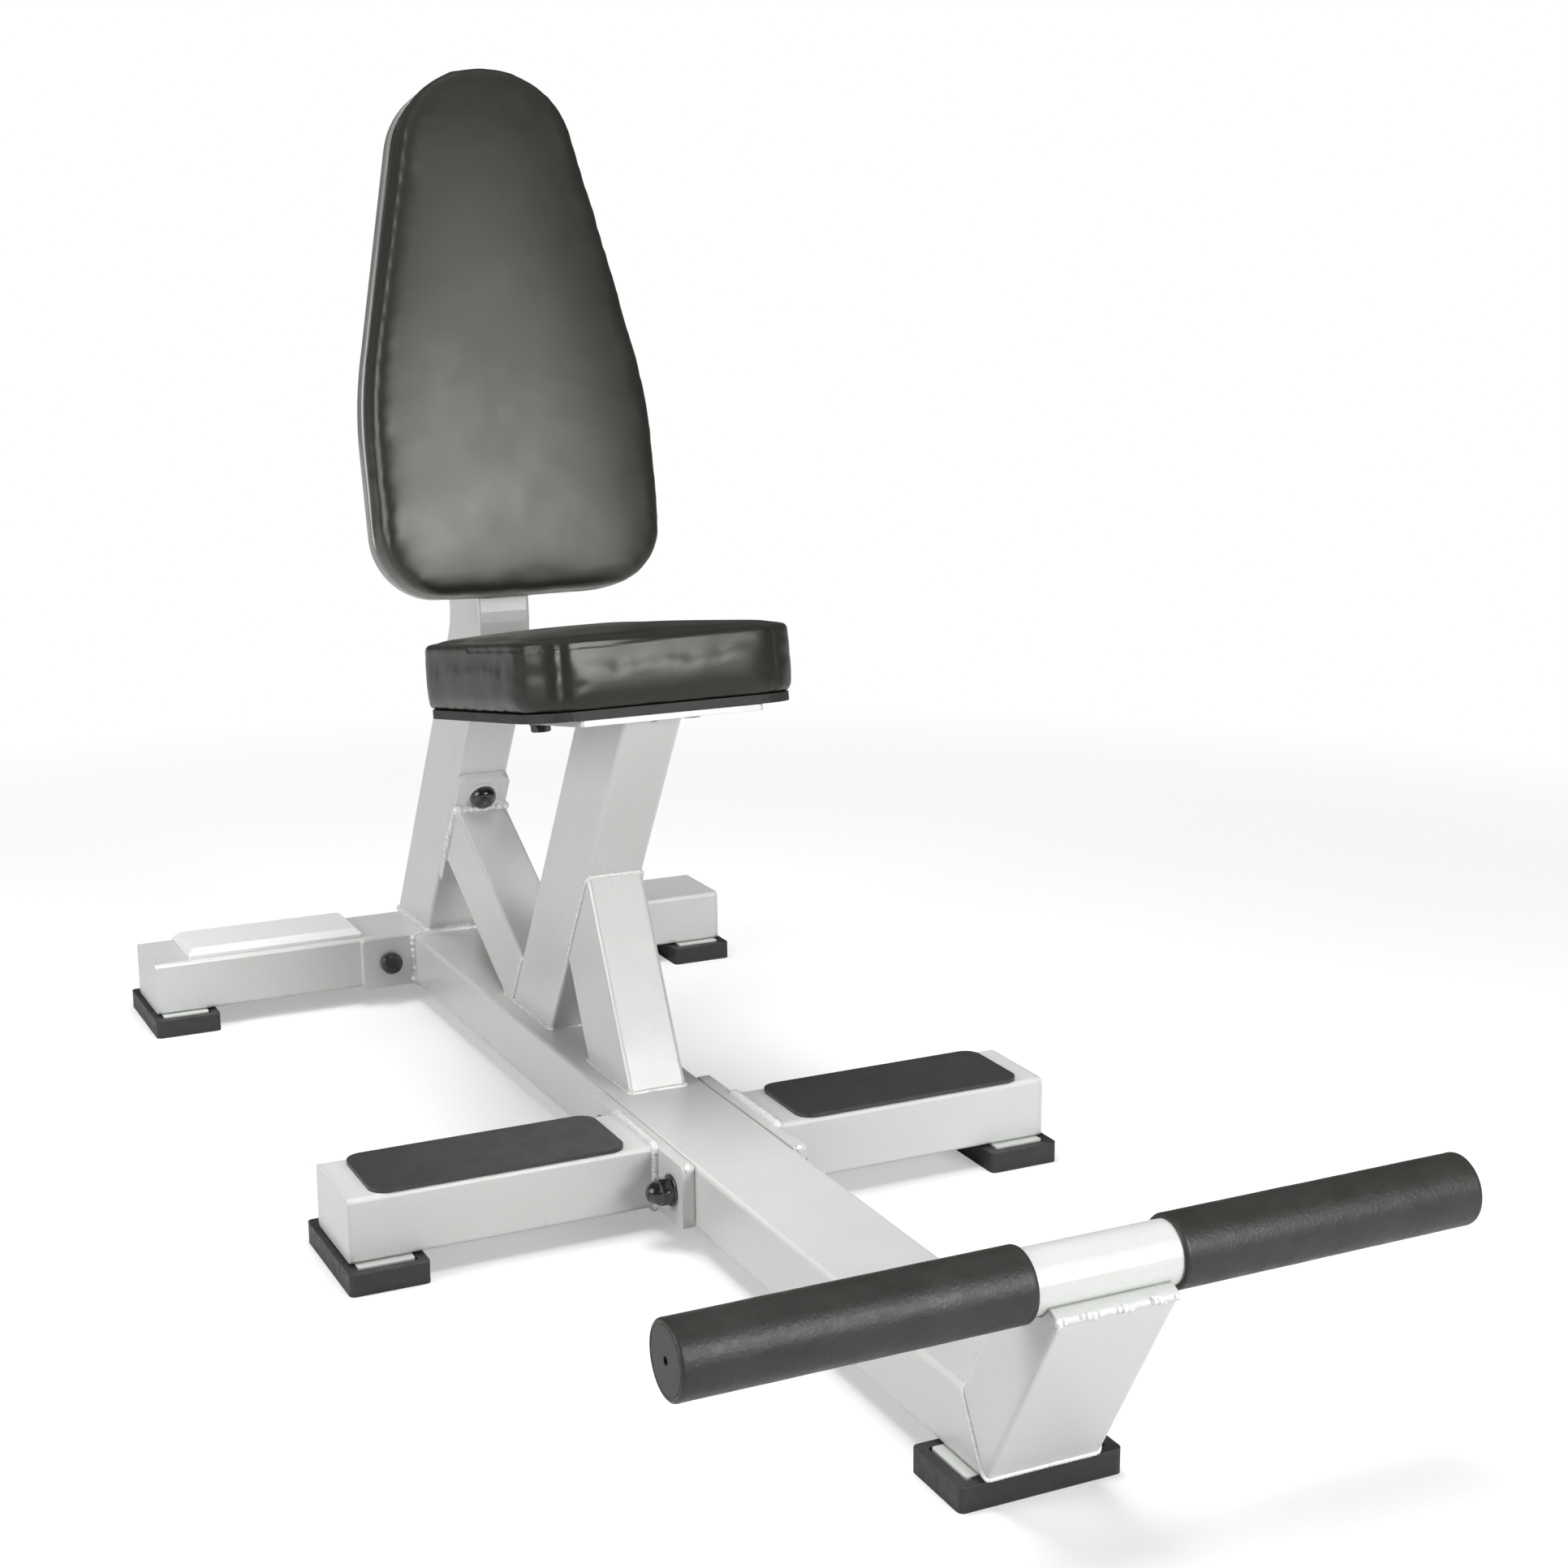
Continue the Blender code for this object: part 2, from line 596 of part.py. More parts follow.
def pad_foot():
    """Lower end of the back pad, on the back of its board."""
    return at(BACK_AHEAD, BACK_HEIGHT)


def add_upright(finish, plastic):
    """The bent rear upright and the plate that closes its top."""
    path = upright_path()
    up = leaning(BACK_LEAN)
    upright = frame_tube(
        "rear_upright", path, Vector((1, 0, 0)), (TUBE_NARROW, TUBE_BROAD),
        [(Vector((0, 0, BASE_TOP)), Vector((0, 0, -1)))], finish,
    )
    outline = rounded_rectangle(TUBE_NARROW, TUBE_BROAD, TUBE_CORNER)
    cap = slab(outline, 2 * GAP, CAP_THICK)
    add_object("upright_top_cap", cap, plastic, path[-1], turn=-BACK_LEAN)
    return upright


def post_face(ahead, lean, sign):
    """A point on the front (-1) or back (1) face of a leaning post at the rail's top,
    and that face's outward direction."""
    outward = facing(lean) * sign
    return at(ahead, BASE_TOP) + outward * TUBE_BROAD / 2, outward


def add_seat_post(finish):
    """The seat post, trimmed to the rail and to the seat plate."""
    base = at(SEAT_POST_AHEAD, BASE_TOP)
    up = leaning(-SEAT_POST_LEAN)
    normal = leaning(SEAT_TILT)
    under_plate = at(SEAT_AHEAD, SEAT_HEIGHT) - normal * (PAD_PLATE_THICK + GAP)
    height = (SEAT_HEIGHT - BASE_TOP) / math.cos(SEAT_POST_LEAN)
    cuts = [(Vector((0, 0, BASE_TOP)), Vector((0, 0, -1))), (under_plate, normal)]
    path = [base - up * TUBE_BROAD, base + up * (height + TUBE_BROAD)]
    size = (TUBE_NARROW, TUBE_BROAD)
    post = frame_tube("seat_post", path, Vector((1, 0, 0)), size, cuts, finish)
    face, outward = post_face(SEAT_POST_AHEAD, -SEAT_POST_LEAN, -1)
    rise = (under_plate - face).dot(normal) / up.dot(normal)
    top = face + up * rise + outward * TUBE_WALL
    drill(post, [(top, -outward, 3 * TUBE_WALL, VENT_NOTCH_RADIUS)])


def add_front_brace(finish):
    """The brace in front of the seat post. It leans back on it."""
    base = at(FRONT_BRACE_AHEAD, BASE_TOP)
    up = leaning(FRONT_BRACE_LEAN)
    face, outward = post_face(SEAT_POST_AHEAD, -SEAT_POST_LEAN, -1)
    cuts = [(Vector((0, 0, BASE_TOP)), Vector((0, 0, -1))), (face, -outward)]
    path = [base - up * TUBE_BROAD, base + up * 4 * TUBE_BROAD]
    frame_tube("front_brace", path, Vector((1, 0, 0)), (TUBE_NARROW, TUBE_BROAD), cuts, finish)


def add_rear_brace(upright, finish, dark):
    """The brace from the foot of the seat post back to the upright, its flange plate
    on the upright's front face, and that plate's two bolts."""
    foot, forward = post_face(UPRIGHT_AHEAD, -UPRIGHT_LEAN, -1)
    up = leaning(-UPRIGHT_LEAN)
    middle = foot + up * ((REAR_BRACE_HEIGHT - foot.z) / up.z)
    along = Vector((0, math.cos(REAR_BRACE_RISE), math.sin(REAR_BRACE_RISE)))
    plate_face = middle + forward * (FLANGE_THICK + GAP)
    face, outward = post_face(SEAT_POST_AHEAD, -SEAT_POST_LEAN, 1)
    cuts = [(Vector((0, 0, BASE_TOP)), Vector((0, 0, -1))), (face, -outward), (plate_face, -forward)]
    reach = (middle - face).length + TUBE_BROAD
    path = [middle - along * reach, middle + along * TUBE_BROAD]
    size = (TUBE_NARROW, REAR_BRACE_DEPTH)
    frame_tube("rear_brace", path, Vector((1, 0, 0)), size, cuts, finish)
    outline = rounded_rectangle(TUBE_NARROW, BRACE_FLANGE_LENGTH, BRACE_FLANGE_CORNER)
    bm = slab(outline, GAP, FLANGE_THICK)
    bmesh.ops.rotate(bm, cent=Vector(), matrix=Matrix.Rotation(math.pi / 2, 3, "X"), verts=bm.verts)
    plate = add_object("rear_brace_flange", bm, finish, middle, turn=UPRIGHT_LEAN)
    hole = FRAME_BOLT_RADIUS + BOLT_CLEARANCE
    holes = []
    for place, name in ((1, "upper"), (-1, "lower")):
        spot = middle + up * (place * BRACE_BOLT_SPACING / 2)
        reach = 2 * FLANGE_THICK
        holes.append((spot + forward * reach, -forward, reach + BLIND_BOLT_REACH, hole))
        seat = spot + forward * (FLANGE_THICK + GAP)
        add_dome_bolt(f"brace_bolt_{name}", seat, -forward, FLANGE_THICK + BLIND_BOLT_REACH, dark)
    drill(plate, holes)
    drill(upright, holes)


def add_dome_bolt(name, start, direction, grip, finish):
    """A round-headed bolt whose shank runs along the direction."""
    rings = [(-h * ROUND_CAP_LENGTH, r * ROUND_CAP_RADIUS, 0) for h, r in reversed(CAP_PROFILE)]
    rings += [(0, ROUND_CAP_RADIUS, 0), (0, FRAME_BOLT_RADIUS, 0), (grip, FRAME_BOLT_RADIUS, 0)]
    bm = point_along(turned(rings, ROUND_SIDES), direction)
    return add_object(name, bm, finish, start)


def inward(outline, spine_low, spine_high, share):
    """The outline drawn in towards a line up its middle, by a share of the way."""
    drawn = []
    for p in outline:
        goal = Vector((0, min(max(p.y, spine_low), spine_high)))
        drawn.append(p.lerp(goal, share))
    return drawn


def cushion(outline, spine, thick, crown, edge, tuck):
    """A stuffed pad: sides drawn in at the board, a rounded sewn edge, and a crown."""
    half = max(p.x for p in outline)
    side = thick - crown
    foot = side * CUSHION_FOOT
    rings = []
    for k in range(CUSHION_FOOT_STEPS + 1):
        angle = math.pi / 2 * k / CUSHION_FOOT_STEPS
        rings.append((tuck * (1 - math.sin(angle)) / half, foot * (1 - math.cos(angle))))
    for k in range(CUSHION_EDGE_STEPS + 1):
        angle = math.pi / 2 * k / CUSHION_EDGE_STEPS
        rings.append((edge * (1 - math.cos(angle)) / half, side - edge * (1 - math.sin(angle))))
    start = edge / half
    for k in range(1, CUSHION_CROWN_STEPS + 1):
        way = k / (CUSHION_CROWN_STEPS + 1)
        rings.append((start + (1 - start) * way, side + crown * (1 - (1 - way) ** 2)))
    rows = []
    for share, height in rings:
        rows.append([Vector((*p, height)) for p in inward(outline, *spine, share)])
    return loft(rows)


def add_seat(finish, board, vinyl, dark):
    """The seat plate, the board and the cushion on it, and the bolts from below."""
    frame = add_empty("seat_frame", at(SEAT_AHEAD, SEAT_HEIGHT), -SEAT_TILT)
    length = SEAT_PLATE_FRONT + SEAT_PLATE_BACK
    outline = rounded_rectangle(SEAT_PLATE_WIDTH, length, TUBE_CORNER)
    shift = Vector((0, (SEAT_PLATE_BACK - SEAT_PLATE_FRONT) / 2))
    outline = [p + shift for p in outline]
    plate = add_object("seat_plate", slab(outline, -PAD_PLATE_THICK, -GAP), finish, parent=frame)
    size = (SEAT_WIDTH - 2 * SEAT_TUCK, SEAT_LENGTH - 2 * SEAT_TUCK)
    outline = rounded_rectangle(*size, SEAT_CORNER, PAD_CORNER_STEPS)
    wood = add_object("seat_board", slab(outline, 0, SEAT_BOARD_THICK - GAP), board, parent=frame)
    outline = rounded_rectangle(SEAT_WIDTH, SEAT_LENGTH, SEAT_CORNER, PAD_CORNER_STEPS)
    spine = (SEAT_WIDTH - SEAT_LENGTH) / 4
    shape = (SEAT_CUSHION_THICK, SEAT_CROWN, SEAT_EDGE, SEAT_TUCK)
    bm = cushion(outline, (spine, -spine), *shape)
    origin = Vector((0, 0, SEAT_BOARD_THICK))
    add_object("seat_cushion", bm, vinyl, origin, frame)
    centre = at(SEAT_AHEAD, SEAT_HEIGHT)
    up = leaning(SEAT_TILT)
    back = facing(SEAT_TILT)
    holes = []
    for sign, hand in ((-1, "left"), (1, "right")):
        spot = centre - back * SEAT_BOLT_AHEAD + Vector((sign * SEAT_BOLT_X, 0, 0))
        seat = spot - up * (PAD_PLATE_THICK + GAP)
        holes.append(pad_hole(seat, up))
        add_pad_bolt(f"seat_bolt_{hand}", seat, up, dark)
    drill(plate, holes)
    drill(wood, holes)


def pad_hole(seat, direction):
    """The hole that a pad bolt needs through the plate and into the board."""
    radius = PAD_BOLT_RADIUS + BOLT_CLEARANCE
    length = 2 * PAD_PLATE_THICK + PAD_BOLT_BITE + 4 * GAP
    return seat - direction * PAD_PLATE_THICK, direction, length, radius


def add_pad_bolt(name, seat, direction, finish):
    """A hexagon bolt with its washer, in one piece, driven into a pad's board."""
    corner = hexagon(PAD_BOLT_ACROSS)
    head = PAD_BOLT_HEAD + WASHER_THICK
    rings = [(-head, corner - HEAD_CHAMFER, 6), (HEAD_CHAMFER - head, corner, 6)]
    rings += [(-WASHER_THICK, corner, 6), (-WASHER_THICK, WASHER_RADIUS, 0), (0, WASHER_RADIUS, 0)]
    rings += [(0, PAD_BOLT_RADIUS, 0), (PAD_PLATE_THICK + PAD_BOLT_BITE, PAD_BOLT_RADIUS, 0)]
    return add_object(name, point_along(turned(rings), direction), finish, seat)


def back_outline():
    """The back pad from the front: broad and round below, narrowing to a round top."""
    half = BACK_WIDTH / 2
    right = [
        (half, 0, BACK_LOWER_CORNER), (half, BACK_SHOULDER_HEIGHT, BACK_SHOULDER_RADIUS),
        (BACK_TOP_HALF_WIDTH, BACK_LENGTH, BACK_UPPER_CORNER),
    ]
    left = [(-x, y, radius) for x, y, radius in reversed(right)]
    return fillet(right + left, PAD_CORNER_STEPS)


def add_back(finish, board, vinyl, dark):
    """The back cushion, its board, the plate behind it and the mount on the upright."""
    lean = leaning(BACK_LEAN)
    rear = facing(BACK_LEAN)
    frame = add_empty("back_frame", pad_foot(), -BACK_LEAN)
    stand = math.pi / 2
    outline = back_outline()
    spine = (BACK_WIDTH / 2, BACK_LENGTH - BACK_TOP_HALF_WIDTH)
    bm = cushion(outline, spine, BACK_CUSHION_THICK, BACK_CROWN, BACK_EDGE, BACK_TUCK)
    origin = Vector((0, -BACK_BOARD_THICK, 0))
    add_object("back_cushion", bm, vinyl, origin, frame, stand)
    drawn = inward(outline, *spine, BACK_BOARD_INSET / (BACK_WIDTH / 2))
    bm = slab(drawn, GAP, BACK_BOARD_THICK - GAP)
    wood = add_object("back_board", bm, board, Vector(), frame, stand)
    outline = rounded_rectangle(BACK_PLATE_WIDTH, BACK_PLATE_TO - BACK_PLATE_FROM, TUBE_CORNER)
    bm = slab(outline, -PAD_PLATE_THICK, 0)
    middle = Vector((0, 0, (BACK_PLATE_FROM + BACK_PLATE_TO) / 2))
    plate = add_object("back_plate", bm, finish, middle, frame, stand)
    centre = pad_foot() + rear * (PAD_PLATE_THICK + GAP + BACK_MOUNT_DEPTH / 2)
    path = [centre + lean * BACK_MOUNT_FROM, centre + lean * BACK_PLATE_TO]
    size = (TUBE_NARROW, BACK_MOUNT_DEPTH)
    frame_tube("back_mount", path, Vector((1, 0, 0)), size, [], dark)
    holes = []
    rows = ((BACK_PLATE_FROM + BACK_BOLT_INSET, "lower"), (BACK_PLATE_TO - BACK_BOLT_INSET, "upper"))
    for sign, hand in ((-1, "left"), (1, "right")):
        for up, name in rows:
            spot = pad_foot() + lean * up + Vector((sign * BACK_BOLT_X, 0, 0))
            seat = spot + rear * (PAD_PLATE_THICK + GAP)
            holes.append(pad_hole(seat, -rear))
            add_pad_bolt(f"back_bolt_{name}_{hand}", seat, -rear, dark)
    drill(plate, holes)
    drill(wood, holes)


def add_step_pads(rubber):
    outline = rounded_rectangle(STEP_PAD_LENGTH, STEP_PAD_WIDTH, STEP_PAD_CORNER, PAD_CORNER_STEPS)
    for sign, hand in ((-1, "left"), (1, "right")):
        place = at(OUTRIGGER_AHEAD, BASE_TOP, sign * STEP_PAD_MIDDLE)
        add_object(f"{hand}_step_pad", slab(outline, GAP, STEP_PAD_THICK), rubber, place)


def add_name_plate(finish):
    """A bare plate with a chamfered edge, on the crossbar's left half."""
    inset = 2 * NAME_PLATE_CHAMFER
    full = rounded_rectangle(NAME_PLATE_LENGTH, NAME_PLATE_WIDTH, NAME_PLATE_CORNER)
    top = rounded_rectangle(NAME_PLATE_LENGTH - inset, NAME_PLATE_WIDTH - inset, NAME_PLATE_CORNER)
    edge = NAME_PLATE_THICK - NAME_PLATE_CHAMFER
    rings = []
    for outline, height in ((full, GAP), (full, edge), (top, NAME_PLATE_THICK)):
        rings.append([Vector((*p, height)) for p in outline])
    place = at(-CROSSBAR_BEHIND, BASE_TOP, -NAME_PLATE_MIDDLE)
    add_object("name_plate", loft(rings), finish, place)


def build():
    clear_scene()
    paint = material("frame_paint", (0.72, 0.73, 0.71), 0.35)
    steel = material("dark_steel", (0.03, 0.03, 0.03), 0.30, 0.6)
    vinyl = material("black_vinyl", (0.022, 0.022, 0.021), 0.38)
    rubber = material("black_rubber", (0.035, 0.035, 0.034), 0.60)
    foam = material("roller_foam", (0.028, 0.028, 0.027), 0.55)
    board = material("painted_board", (0.030, 0.028, 0.026), 0.70)
    bright = material("plate_metal", (0.80, 0.80, 0.80), 0.25, 0.5)
    add_base(paint, steel)
    add_shoes(paint, rubber)
    add_foot_post(paint)
    add_foot_bar(paint, foam)
    add_seat_post(paint)
    add_front_brace(paint)
    upright = add_upright(paint, rubber)
    add_rear_brace(upright, paint, steel)
    add_seat(paint, board, vinyl, steel)
    add_back(paint, board, vinyl, steel)
    add_step_pads(rubber)
    add_name_plate(bright)


build()
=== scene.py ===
# %% [markdown]
# # A utility bench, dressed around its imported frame
# The bench is a low seat and a high back pad on a welded frame of rectangular steel tube.
# A foot bar with two foam rollers crosses its front end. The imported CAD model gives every
# tube, plate, bolt and pad at its real size. This lesson gives them their finishes, and
# builds what a solid model leaves out: stuffed cushions, weld beads, wrapped boards,
# rounded fasteners, and a pale studio to look at them in.

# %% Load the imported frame
import json
import math

import bmesh
import bpy
import numpy as np
from mathutils import Matrix, Vector, noise


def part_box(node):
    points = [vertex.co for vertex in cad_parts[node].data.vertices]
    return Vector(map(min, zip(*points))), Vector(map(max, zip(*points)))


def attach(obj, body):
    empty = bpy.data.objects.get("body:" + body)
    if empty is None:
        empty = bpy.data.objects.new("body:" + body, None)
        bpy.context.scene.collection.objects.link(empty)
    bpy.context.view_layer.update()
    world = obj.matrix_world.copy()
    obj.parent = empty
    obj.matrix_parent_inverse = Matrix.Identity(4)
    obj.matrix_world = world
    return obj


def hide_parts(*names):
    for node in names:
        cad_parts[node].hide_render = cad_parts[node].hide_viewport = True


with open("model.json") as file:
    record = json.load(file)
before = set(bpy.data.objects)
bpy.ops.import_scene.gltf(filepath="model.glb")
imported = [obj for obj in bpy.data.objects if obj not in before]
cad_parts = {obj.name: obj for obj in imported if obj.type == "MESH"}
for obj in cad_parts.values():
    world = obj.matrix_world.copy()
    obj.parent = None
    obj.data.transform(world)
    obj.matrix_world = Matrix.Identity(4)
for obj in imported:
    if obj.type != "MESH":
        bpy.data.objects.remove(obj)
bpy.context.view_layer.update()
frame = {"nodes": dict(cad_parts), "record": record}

nodes = frame["nodes"]
slots = {part["node"]: part["material_slot"] for part in frame["record"]["subparts"]}

# %% [markdown]
# ## The camera
# The photograph was taken from the front left, a little above the seat, with a long lens.
# A camera can be aimed by hand, or its turn can be written as angles. Angles are used here,
# fitted to the corners of the frame: how far round the bench the camera stands, how far it
# looks down, and how far it rolls.

# %% Camera at the photograph's angle
CAMERA_PLACE = (-0.8936, -2.0980, 0.9152)
CAMERA_ROUND = math.radians(-25.9308)
CAMERA_DOWN = math.radians(12.8689)
CAMERA_ROLL = math.radians(-0.2031)
CAMERA_LENS = 56.662

camera_turn = (
    Matrix.Rotation(CAMERA_ROUND, 4, "Z")
    @ Matrix.Rotation(math.radians(90) - CAMERA_DOWN, 4, "X")
    @ Matrix.Rotation(CAMERA_ROLL, 4, "Z")
)
camera = bpy.data.objects.new("camera", bpy.data.cameras.new("camera"))
camera.matrix_world = Matrix.Translation(CAMERA_PLACE) @ camera_turn
camera.data.sensor_width = 36
camera.data.lens = CAMERA_LENS
bpy.context.scene.collection.objects.link(camera)
bpy.context.scene.camera = camera
bpy.context.scene.view_settings.view_transform = "Standard"
print("camera looks along", [round(-v, 3) for v in camera_turn.col[2][:3]])

# %% [markdown]
# ## A small kit for finishes
# A finish is a Principled shader whose colour, roughness and bump come from noise. Nodes can
# be placed by hand in the editor, but the same few steps repeat for every finish, so they are
# helpers here. Sizes are given in metres, as the width of one grain or blotch, and every
# texture reads the object's own coordinates. The CAD parts sit at the origin, so those are
# real metres, and a grain stays on its part when the part turns.

# %% Helpers that add one layer to a finish
def shader_of(finish):
    return finish.node_tree.nodes["Principled BSDF"]


def set_inputs(finish, values):
    """Sets the shader's own sockets, for what is the same all over the finish."""
    for key, value in values.items():
        shader_of(finish).inputs[key].default_value = value


def new_finish(name, colour, roughness, metallic=0.0, coat=0.0, coat_roughness=0.2):
    made = bpy.data.materials.new(name)
    made.use_nodes = True
    set_inputs(made, {
        "Base Color": (*colour, 1), "Roughness": roughness, "Metallic": metallic,
        "Coat Weight": coat, "Coat Roughness": coat_roughness,
    })
    return made


def add_node(owner, kind, links=(), **values):
    """Adds a node, sets its properties and inputs, and links (input, socket) pairs to it."""
    made = owner.node_tree.nodes.new(kind)
    for key, value in values.items():
        if key in made.bl_rna.properties:
            setattr(made, key, value)
        else:
            made.inputs[key].default_value = value
    for key, socket in links:
        owner.node_tree.links.new(socket, made.inputs[key])
    return made


def grain(finish, size, detail=2.0, stretch=(1, 1, 1), seed=0.0, cells=False):
    """A noise, or cells like those of leather, whose features are about size metres wide."""
    place = add_node(finish, "ShaderNodeTexCoord").outputs["Object"]
    shifted = add_node(
        finish, "ShaderNodeMapping", [("Vector", place)],
        Location=(seed, seed * 0.7, seed * 0.3), Scale=stretch,
    ).outputs["Vector"]
    if cells:
        return add_node(
            finish, "ShaderNodeTexVoronoi", [("Vector", shifted)],
            feature="DISTANCE_TO_EDGE", Scale=1 / size,
        ).outputs["Distance"]
    return add_node(
        finish, "ShaderNodeTexNoise", [("Vector", shifted)], Scale=1 / size, Detail=detail
    ).outputs["Fac"]


def spread(owner, socket, low, high, start=0.3, end=0.7):
    """Maps a texture from start..end to low..high."""
    ends = {"From Min": start, "From Max": end, "To Min": low, "To Max": high}
    return add_node(owner, "ShaderNodeMapRange", [("Value", socket)], **ends).outputs["Result"]


def tint(finish, mask, colour):
    """Lays a colour over the finish's colour where the mask says."""
    target = shader_of(finish).inputs["Base Color"]
    mix = add_node(finish, "ShaderNodeMix", [(0, mask)], data_type="RGBA")
    under, over = mix.inputs[6], mix.inputs[7]
    under.default_value = target.default_value
    over.default_value = (*colour, 1)
    if target.is_linked:
        finish.node_tree.links.new(target.links[0].from_socket, under)
    finish.node_tree.links.new(mix.outputs[2], target)


def roughen(finish, socket):
    finish.node_tree.links.new(socket, shader_of(finish).inputs["Roughness"])


def emboss(finish, socket, depth, strength=1.0):
    """Adds a bump, in metres of depth, on top of the bumps that the finish already has."""
    target = shader_of(finish).inputs["Normal"]
    links = [("Height", socket)]
    if target.is_linked:
        links.append(("Normal", target.links[0].from_socket))
    bump = add_node(finish, "ShaderNodeBump", links, Distance=depth, Strength=strength)
    finish.node_tree.links.new(bump.outputs["Normal"], target)


# %% Helpers for edges
ARRIS_SAMPLES = 4


def round_edges(finish, radius):
    """The surface's direction, bent round each sharp edge."""
    bevel = add_node(finish, "ShaderNodeBevel", samples=ARRIS_SAMPLES, Radius=radius)
    return bevel.outputs["Normal"]


def soften_arrises(finish, radius):
    """Bends the light round each sharp edge, as a coat of paint does. It comes before emboss."""
    finish.node_tree.links.new(round_edges(finish, radius), shader_of(finish).inputs["Normal"])


def painted_edge_highlight(finish, radius, amount):
    """White near edges: a painted highlight where each edge would catch the light."""
    flat = add_node(finish, "ShaderNodeNewGeometry").outputs["Normal"]
    links = [(0, round_edges(finish, radius)), (1, flat)]
    match = add_node(finish, "ShaderNodeVectorMath", links, operation="DOT_PRODUCT")
    return spread(finish, match.outputs["Value"], amount, 0.0, 0.86, 0.995)


# %% Whole layers, from grain to shader
def mottle(finish, colour, amount, size, detail=2.0, start=0.3, end=0.7, **more):
    """Lays a colour over the finish in blotches, where the grain is between start and end."""
    mask = spread(finish, grain(finish, size, detail, **more), 0.0, amount, start, end)
    tint(finish, mask, colour)


def vary_shine(finish, low, high, size, detail, seed):
    """Lets the roughness wander from low to high."""
    roughen(finish, spread(finish, grain(finish, size, detail, seed=seed), low, high))


def pebble(finish, depth, size, detail=2.0, strength=1.0, **more):
    """Presses a grain into the surface."""
    emboss(finish, grain(finish, size, detail, **more), depth, strength)


print("finish helpers ready")

# %% [markdown]
# ## Silver frame paint
# The frame is sprayed a light silver grey and baked. Such paint has a fine orange peel, a
# faint cloudiness where the coats overlap, and tiny bright flakes. It could be a plain grey
# metal, but it would then mirror the room. A satin paint with a thin clear coat keeps its
# colour in the shade and still throws a soft highlight along the round bar.

# %% Frame paint
frame_paint = new_finish("frame_paint", (0.640, 0.655, 0.632), 0.36, 0.15, coat=0.25)
soften_arrises(frame_paint, 0.0012)
mottle(frame_paint, (0.585, 0.603, 0.585), 0.55, 0.16, 3)
mottle(frame_paint, (0.80, 0.81, 0.80), 0.35, 0.0011, 1, 0.55, 0.75, seed=3)
mottle(frame_paint, (0.36, 0.37, 0.36), 0.30, 0.010, 4, 0.70, 0.78, stretch=(1, 1, 0.12), seed=11)
# painted highlight: the frame paint is lighter along every edge
tint(frame_paint, painted_edge_highlight(frame_paint, 0.0022, 0.30), (0.78, 0.79, 0.78))
vary_shine(frame_paint, 0.30, 0.43, 0.045, 4, seed=5)
pebble(frame_paint, 0.00006, 0.0022, seed=7)
pebble(frame_paint, 0.00025, 0.030, seed=9)

# %% [markdown]
# Weld beads are sprayed with the same paint, with a stronger shine. Their lighter colour
# is a painted highlight, for the light that their ripples catch.

# %% Paint over weld beads, lighter as a painted highlight
# painted highlight: lighter than the frame paint, for light caught by the ripples
weld_paint_painted_highlight = new_finish(
    "weld_paint_painted_highlight", (0.76, 0.77, 0.76), 0.22, 0.10, coat=0.8, coat_roughness=0.10
)
mottle(weld_paint_painted_highlight, (0.68, 0.69, 0.68), 0.6, 0.006, 3)
vary_shine(weld_paint_painted_highlight, 0.18, 0.34, 0.004, 3, seed=2)
pebble(weld_paint_painted_highlight, 0.00018, 0.0016, seed=4)

# %% [markdown]
# ## Black vinyl
# Upholstery vinyl is a soft plastic skin with a very fine leather grain. Its shine is broad
# and faintly olive, and it changes a little where hands and clothes have rubbed it. The grain
# is cells about a millimetre across, which the eye only reads close up, and a slow ripple
# keeps the highlights from looking moulded.

# %% Vinyl
black_vinyl = new_finish(
    "black_vinyl", (0.0175, 0.0178, 0.0160), 0.36, coat=0.60, coat_roughness=0.32
)
set_inputs(black_vinyl, {
    "Coat Tint": (0.955, 1.0, 0.87, 1), "Specular Tint": (0.975, 1.0, 0.92, 1),
})
mottle(black_vinyl, (0.0235, 0.0240, 0.0220), 0.8, 0.09, 3)
mottle(black_vinyl, (0.034, 0.035, 0.033), 0.35, 0.012, 4, 0.6, 0.8, seed=6)
vary_shine(black_vinyl, 0.32, 0.42, 0.035, 4, seed=8)
pebble(black_vinyl, 0.00012, 0.0012, strength=0.5, cells=True)
pebble(black_vinyl, 0.00003, 0.0007, seed=2)
pebble(black_vinyl, 0.00025, 0.030, seed=4)

# %% [markdown]
# The seat is sat on, so its vinyl is polished: darker, with sharper highlights. The board
# behind the back pad is wrapped in smooth vinyl, whose grey is a painted reflection of the floor.

# %% Vinyl of the seat, and vinyl stretched over a board
seat_vinyl = black_vinyl.copy()
seat_vinyl.name = "seat_vinyl"
set_inputs(seat_vinyl, {
    "Coat Weight": 0.45, "Coat Roughness": 0.24, "Specular IOR Level": 0.25,
})
# painted reflection: the wrap's light grey colour stands in for the pale floor that its side
# mirrors
wrap_vinyl_painted_reflection = new_finish("wrap_vinyl_painted_reflection", (0.185, 0.189, 0.183), 0.30, coat=1.0)
set_inputs(wrap_vinyl_painted_reflection, {"Coat IOR": 1.9})
mottle(wrap_vinyl_painted_reflection, (0.215, 0.219, 0.212), 0.7, 0.05, 3)
vary_shine(wrap_vinyl_painted_reflection, 0.26, 0.36, 0.02, 4, seed=8)
pebble(wrap_vinyl_painted_reflection, 0.00008, 0.0012, strength=0.5, cells=True)
pebble(wrap_vinyl_painted_reflection, 0.0004, 0.025, seed=4)

# %% [markdown]
# ## Board, rubber and foam
# The seat's board is painted, and the grain of the wood shows through. The feet and step pads
# are moulded rubber, which is dull and slightly dusty. The rollers are dense foam with a
# smooth skin: duller than the vinyl, with a mottle that shows where the light grazes it.

